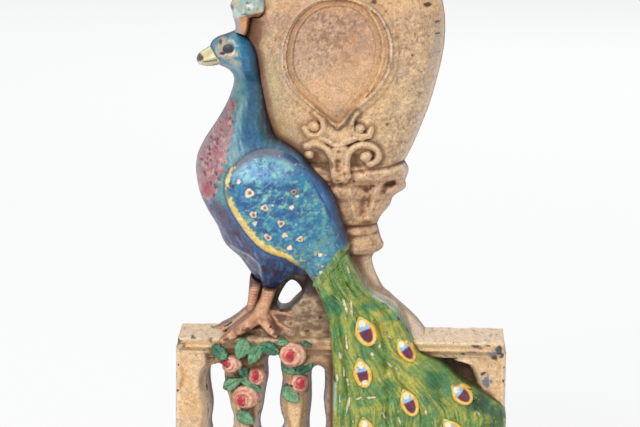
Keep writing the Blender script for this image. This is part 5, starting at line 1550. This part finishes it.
# ------------------------------------------------------------------ coping: a moulded beam swept between its ends
def beam(name, x0_of, x1_of, step_x=0.45):
    prof = [(0.0, 54.9), (17.6, 54.9), (18.5, 55.1), (19.0, 55.8), (19.3, 56.5), (19.7, 56.95), (20.2, 57.3), (20.35, 57.75), (20.15, 58.2), (20.1, 58.7),
            (20.4, 59.2), (20.9, 59.8), (21.05, 60.3), (20.8, 60.7), (20.2, 60.95), (10.0, 61.45), (1.0, 61.9), (0.0, 61.6)]
    pts = []
    for a, b in zip(prof[:-1], prof[1:]):
        k = max(1, int(math.hypot(b[0] - a[0], b[1] - a[1]) / 0.55))
        pts += [(a[0] + (b[0] - a[0]) * t / k, a[1] + (b[1] - a[1]) * t / k) for t in range(k)]
    pts.append(prof[-1])
    # back channel
    chan = [(0.0, 60.4), (1.0, 60.2), (9.0, 59.8), (11.0, 59.2), (11.0, 57.4), (9.0, 56.8), (1.0, 56.4), (0.0, 56.2)]
    P = np.array(pts + chan)
    is_chan = np.array([False] * len(pts) + [True] * len(chan))
    L_ = np.mean([x1_of(z) - x0_of(z) for z in (55, 58, 62)])
    ns = int(L_ / step_x) + 1
    S = np.linspace(0, 1, ns)
    m = len(P)
    X = np.array([[x0_of(p[1]) + s * (x1_of(p[1]) - x0_of(p[1])) for p in P] for s in S])
    D = np.repeat(P[None, :, 0], ns, 0).copy()
    Z = np.repeat(P[None, :, 1], ns, 0).copy()
    endness = np.minimum(S, 1 - S) * L_
    fadec = smooth(endness, 1.6, 4.0)[:, None]
    D = np.where(is_chan[None, :], D * fadec, D)
    # hand-cast unevenness, softened arrises and a few dings
    front = (~is_chan)[None, :] & (D > 0.5)
    w = (fbm(X, Z + D, 7.0, 801, 3) - 0.5) * 0.45 + (fbm(X, Z * 1.0 + 0.7 * D, 1.3, 802, 3) - 0.5) * 0.22
    D = np.where(front & (D > 12), D + w, D)
    Z = np.where(front & (P[None, :, 1] > 60.8), Z + (fbm(X, D, 5.0, 803, 3) - 0.5) * 0.5, Z)
    ding = smooth(noise(X, Z * 1.0, 2.4, 804), 0.80, 0.95)
    D = np.where(front & (P[None, :, 1] > 58.2) & (P[None, :, 1] < 60.9), D - 0.55 * ding, D)
    # ease the free ends
    for s, k in ((0, 0.55), (1, 0.18)):
        D[s] = np.where(P[:, 0] > 15, D[s] - k, D[s])
        D[ns - 1 - s] = np.where(P[:, 0] > 15, D[ns - 1 - s] - k, D[ns - 1 - s])
    co = np.stack([X.reshape(-1), (BY - D).reshape(-1), Z.reshape(-1)], 1)
    q = []
    for j in range(ns - 1):
        a = j * m + np.arange(m)
        b = j * m + (np.arange(m) + 1) % m
        q.append(np.stack([a, b, b + m, a + m], 1))
    caps = [list(range(m))[::-1], [(ns - 1) * m + i for i in range(m)]]
    # colour
    x, z, d = X.reshape(-1), Z.reshape(-1), D.reshape(-1)
    base = sample3(COLS["stone"], x, np.where(d > 17, z, 53.5 + (d * 0.41) % 8.0))
    top = (z > 60.7) & (d > 1.0)
    tcol = np.array([[224, 194, 160.0]]) * (1 + 0.16 * (fbm(x, d * 0.45, 1.4, 811) - 0.5))[:, None]
    tcol = tcol * (1 - 0.22 * smooth(noise(x, d * 0.35, 0.8, 812), 0.6, 0.95))[:, None]
    base = np.where(top[:, None], tcol, base)

    def put_c(base, c, t):
        t = clamp(t)[:, None]
        return base * (1 - t) + np.array([c], float) * t
    fr = d > 15
    groove = 0.7 * np.exp(-((z - 56.5) / 0.5) ** 2) + 0.25 * np.exp(-((z - 58.5) / 0.5) ** 2)
    base = put_c(base, (150, 104, 68), fr * groove * (0.35 + 0.5 * fbm(x, z, 2.2, 813)))
    lip = np.exp(-((z - 60.5) / 0.42) ** 2)
    base = put_c(base, (240, 218, 186), fr * lip * smooth(fbm(x, z, 1.6, 814), 0.35, 0.55) * 0.8)
    base = put_c(base, (224, 178, 118), fr * np.exp(-((z - 59.2) / 0.8) ** 2) * 0.35)
    base = put_c(base, (226, 186, 136), fr * np.exp(-((z - 57.8) / 0.4) ** 2) * 0.5)
    for cx_, cz_, a, b in ((44.6, 59.5, 1.6, 0.6), (48.9, 59.9, 1.3, 0.55), (52.6, 58.0, 1.2, 2.4), (40.7, 56.8, 0.8, 0.5), (53.7, 56.0, 0.8, 1.6),
                           (-49.1, 60.7, 1.0, 0.4), (-52.1, 57.8, 0.5, 0.5), (-53.9, 59.6, 0.6, 1.2), (46.6, 58.9, 0.7, 0.4), (-45.5, 56.4, 0.5, 0.35)):
        t = 1 - smooth(np.hypot((x - cx_) / a, (z - cz_) / b) + 1.1 * (fbm(x, z, 1.2, 815, 3) - 0.5), 0.62, 0.98)
        base = put_c(base, (78, 74, 80), fr * t * 0.92)
    mid = smooth(x, -41.0, -34.0) * (1 - smooth(x, -7.0, -3.0)) * (0.35 + 0.9 * smooth(fbm(x, z, 2.4, 816, 3), 0.36, 0.62))
    base = put_c(base, (150, 114, 86), fr * mid * 0.62)
    base = put_c(base, (176, 140, 108), fr * mid * lip * 0.5)
    sh = np.hypot((x + 15.9) / 7.0, (z - 57.0) / 4.5)
    base = put_c(base, (128, 92, 64), fr * (1 - smooth(sh, 0.6, 1.2)) * 0.35)
    sh2 = np.hypot((x + 36.0) / 8.0, (z - 56.0) / 5.0)
    base = put_c(base, (140, 100, 70), fr * (1 - smooth(sh2, 0.5, 1.2)) * 0.4)
    base = put_c(base, (110, 78, 56), top * (1 - smooth(np.hypot((x + 25) / 14, (d - 10) / 10), 0.4, 1.1)) * 0.6)
    back = (is_chan[None, :].repeat(ns, 0).reshape(-1)) | (d < 0.3)
    base = np.where(back[:, None], np.array([[80.0, 64, 54]]), base)
    end = np.repeat((endness < 0.05)[:, None], m, 1).reshape(-1)
    base = np.where((end & ~back)[:, None], base * 0.92, base)
    mk = np.stack([np.where(fr, 0.25 * groove, 0.05), np.where(fr, 0.55 * lip, 0.1), back.astype(float)], 1)
    return make_mesh(name, co, np.concatenate(q)[:, ::-1], [c[::-1] for c in caps], base, mk, MAT["stone"], sharp=40)


def sample3(a, x, z):
    return grid_sample(a, GX, GZ, x, z)


train_left = lambda z: float(np.interp(z, [50, 55.7, 60.4, 64.1], [-2.4, -2.8, -3.2, -3.7])) + 0.5
train_right = lambda z: float(np.interp(z, [52.2, 53.8, 55.2, 56.4, 57.8, 59.8, 62.2], [35.4, 33.4, 30.6, 27.9, 26.2, 24.9, 23.8])) - 0.5
put(beam("coping_left_cast", lambda z: -53.9 - 0.35 * float(np.interp(z, [55, 58, 61.2, 62], [1.4, 1.0, 0.4, 0.0])), train_left), "stone_paint", "coping_left")
put(beam("coping_right_cast", train_right, lambda z: 54.35), "stone_paint", "coping_right")

# bottom rail
rail_f = np.maximum(np.abs(XX) - 54.6, np.maximum(8.7 - ZZ, ZZ - 13.2))
rail_d = np.minimum(54.9 - np.abs(XX), np.minimum(ZZ - 8.0, 13.6 - ZZ))
H_rail = 17.4 + 1.9 * dome(rail_d / 1.6) + (fbm(XX, ZZ, 3.0, 821, 3) - 0.5) * 0.5
put(shell("bottom_rail_cast", rail_f, H_rail, np.zeros(XX.shape), COLS["stone"], SIDE["stone"], MAT["stone"]), "stone_paint", "bottom_rail")

# plinth: sand-cast slab with a worn step, over (x, y)
PX, PY = np.arange(-57.5, 57.6, 0.5), np.arange(-23.5, 23.6, 0.5)
PXX, PYY = np.meshgrid(PX, PY)


def rbox(hx, y0, y1, r):
    a = np.abs(PXX) - hx + r
    cy = (y0 + y1) / 2
    b = np.abs(PYY - cy) - (y1 - y0) / 2 + r
    return np.hypot(np.maximum(a, 0), np.maximum(b, 0)) + np.minimum(np.maximum(a, b), 0) - r


sl, st_ = rbox(56.0, -22.0, 22.0, 1.6), rbox(54.2, -20.2, 4.2, 1.2)
PH = 4.9 + 1.15 * dome(-sl / 1.3) + 2.9 * smooth(-st_, -0.5, 0.5) * (0.92 + 0.08 * dome(-st_ / 1.4))
PH = PH + (fbm(PXX, PYY, 5.0, 831, 3) - 0.5) * 0.35 + (fbm(PXX, PYY, 1.4, 832, 2) - 0.5) * 0.14
PH = np.minimum(PH, 8.95)
pc = np.broadcast_to(rgb(214, 174, 130), PXX.shape + (3,)).copy()


def pmix(a, b, t):
    t = clamp(t)[..., None]
    return a * (1 - t) + b * t


pc = pmix(pc, rgb(230, 198, 156), smooth(fbm(PXX, PYY, 7.0, 833), 0.46, 0.66) * 0.8)
pc = pmix(pc, rgb(176, 132, 90), smooth(fbm(PXX, PYY, 9.0, 834), 0.5, 0.7) * 0.7)
pc = pc * (1 + 0.2 * (noise(PXX, PYY, 0.9, 835) - 0.5))[..., None]
pc = pmix(pc, rgb(116, 80, 54), np.exp(-((st_ - 0.4) / 1.3) ** 2) * 0.75)
pc = pmix(pc, rgb(236, 210, 174), np.exp(-((sl + 0.7) / 0.7) ** 2) * smooth(fbm(PXX, PYY, 2.2, 836), 0.4, 0.6) * 0.6)
pc = pmix(pc, rgb(80, 70, 66), smooth(noise(PXX, PYY, 2.1, 837) + 0.12 * np.exp(-((sl + 0.5) / 0.8) ** 2), 0.90, 0.96) * 0.85)
pe = np.exp(-((sl + 0.6) / 0.6) ** 2) * 0.5
pcav = np.exp(-((st_ - 0.4) / 0.9) ** 2) * 0.5
PB = 0.0 * PXX + 0.35 * smooth(-sl, 2.0, 3.2)
put(shell("base_plinth_cast", sl, PH, PB, pc, SIDE["stone"], MAT["stone"], to3=lambda x, y, h: np.stack([x, y, h], 1), ax=PX, az=PY,
          wall=1.2, cav=pcav, edge=pe), "stone_paint", "base_plinth")


# rubber bumpers: turned buttons with a lip and a dimple
def lathe(name, cx_, cz_, prof, n=48):
    co, q = [], []
    for r, y in prof:
        for k in range(n):
            t = 2 * math.pi * k / n
            co.append((cx_ + r * math.cos(t), y, cz_ + r * math.sin(t)))
    for i in range(len(prof) - 1):
        for k in range(n):
            a, b = i * n + k, i * n + (k + 1) % n
            q.append((a, a + n, b + n, b))
    caps = [list(range(n)), [(len(prof) - 1) * n + k for k in range(n)][::-1]]
    col = np.full((len(co), 3), 40.0)
    return make_mesh(name, np.array(co), np.array(q), caps, col, np.zeros((len(co), 3)), RUBBER, sharp=35)


for n, x0 in (("bumper_left", -40.0), ("bumper_right", 40.0)):
    ob = lathe(n + "_turned", x0, 3.2, [(1.35, 17.05), (1.58, 17.3), (1.6, 19.5), (1.6, 21.95), (2.3, 22.0), (2.62, 22.15), (2.7, 22.45), (2.7, 23.7), (2.62, 24.1),
                                         (2.4, 24.38), (2.05, 24.5), (1.5, 24.5), (1.1, 24.42), (0.8, 24.2), (0.55, 24.08), (0.2, 24.05)])
    put(ob, "bumper_rubber", n)

# ------------------------------------------------------------------ floor, light, camera
def simple(name, color, rough=0.9):
    m = bpy.data.materials.new(name)
    m.use_nodes = True
    b = m.node_tree.nodes["Principled BSDF"]
    b.inputs["Base Color"].default_value = (*color, 1)
    b.inputs["Roughness"].default_value = rough
    b.inputs["Specular IOR Level"].default_value = 0.1
    return m


fm = bpy.data.materials.new("studio_floor")
fm.use_nodes = True
nt = fm.node_tree
nt.nodes.clear()
o_, df, em, mx, lp_, mu = (nt.nodes.new(k) for k in ("ShaderNodeOutputMaterial", "ShaderNodeBsdfDiffuse", "ShaderNodeEmission", "ShaderNodeMixShader",
                                                    "ShaderNodeLightPath", "ShaderNodeMath"))
df.inputs[0].default_value = (0.86, 0.865, 0.875, 1)
em.inputs[0].default_value = (1.0, 1.0, 1.0, 1)
em.inputs[1].default_value = 1.02
mu.operation = "MULTIPLY"
mu.inputs[1].default_value = 0.72
nt.links.new(lp_.outputs["Is Camera Ray"], mu.inputs[0])
nt.links.new(mu.outputs[0], mx.inputs[0])
nt.links.new(df.outputs[0], mx.inputs[1])
nt.links.new(em.outputs[0], mx.inputs[2])
nt.links.new(mx.outputs[0], o_.inputs[0])
me = bpy.data.meshes.new("studio_floor")
R = 9.0
ring = [(R * math.cos(2 * math.pi * k / 64), R * math.sin(2 * math.pi * k / 64), 0.0) for k in range(64)]
me.from_pydata(ring, [], [list(range(64))])
me.materials.append(fm)
floor = bpy.data.objects.new("studio_floor", me)
bpy.context.scene.collection.objects.link(floor)

w = bpy.data.worlds.new("studio")
w.use_nodes = True
nt = w.node_tree
nt.nodes.clear()
o_, b1, b2, mx, lp_ = (nt.nodes.new(k) for k in ("ShaderNodeOutputWorld", "ShaderNodeBackground", "ShaderNodeBackground", "ShaderNodeMixShader", "ShaderNodeLightPath"))
b1.inputs[0].default_value = (0.96, 0.98, 1.0, 1)
b1.inputs[1].default_value = 0.62
b2.inputs[0].default_value = (1, 1, 1, 1)
b2.inputs[1].default_value = 1.0
nt.links.new(lp_.outputs["Is Camera Ray"], mx.inputs[0])
nt.links.new(b1.outputs[0], mx.inputs[1])
nt.links.new(b2.outputs[0], mx.inputs[2])
nt.links.new(mx.outputs[0], o_.inputs[0])
bpy.context.scene.world = w


def area(name, loc, target, size, power, color=(1, 1, 1)):
    L_ = bpy.data.lights.new(name, "AREA")
    L_.shape = "RECTANGLE"
    L_.size, L_.size_y = size
    L_.energy = power
    L_.color = color
    ob = bpy.data.objects.new(name, L_)
    ob.location = loc
    ob.rotation_euler = (Vector(target) - Vector(loc)).to_track_quat("-Z", "Y").to_euler()
    bpy.context.scene.collection.objects.link(ob)
    return ob


mid_pt = (0.0, 0.0, 0.10)
area("key_soft", (-0.75, -1.15, 1.05), mid_pt, (0.8, 0.8), 15.0, (1.0, 0.985, 0.96))
area("fill_soft", (1.25, -1.1, 0.45), mid_pt, (1.0, 1.0), 4.0, (0.97, 0.985, 1.0))
area("rear_soft", (0.3, 1.4, 0.9), mid_pt, (1.0, 1.0), 5.0)

AZ, EL, ROLL = map(math.radians, (1.5, 9.0, 0.7))
r0 = Vector((math.cos(AZ), math.sin(AZ), 0))
bk = Vector((math.sin(AZ) * math.cos(EL), -math.cos(AZ) * math.cos(EL), math.sin(EL)))
u0 = bk.cross(r0)
r_ = r0 * math.cos(ROLL) + u0 * math.sin(ROLL)
u_ = -r0 * math.sin(ROLL) + u0 * math.cos(ROLL)
cam_d = bpy.data.cameras.new("cam")
cam_d.lens, cam_d.sensor_width = 185.625, 36.0
cam_d.clip_start, cam_d.clip_end = 0.05, 40.0
cam = bpy.data.objects.new("cam", cam_d)
M = Matrix(((r_.x, u_.x, bk.x, 0.020800), (r_.y, u_.y, bk.y, -1.094085), (r_.z, u_.z, bk.z, 0.273708), (0, 0, 0, 1)))
cam.matrix_world = M
bpy.context.scene.collection.objects.link(cam)
bpy.context.scene.camera = cam
bpy.context.scene.view_settings.view_transform = "Standard"
bpy.context.scene.view_settings.look = "None"
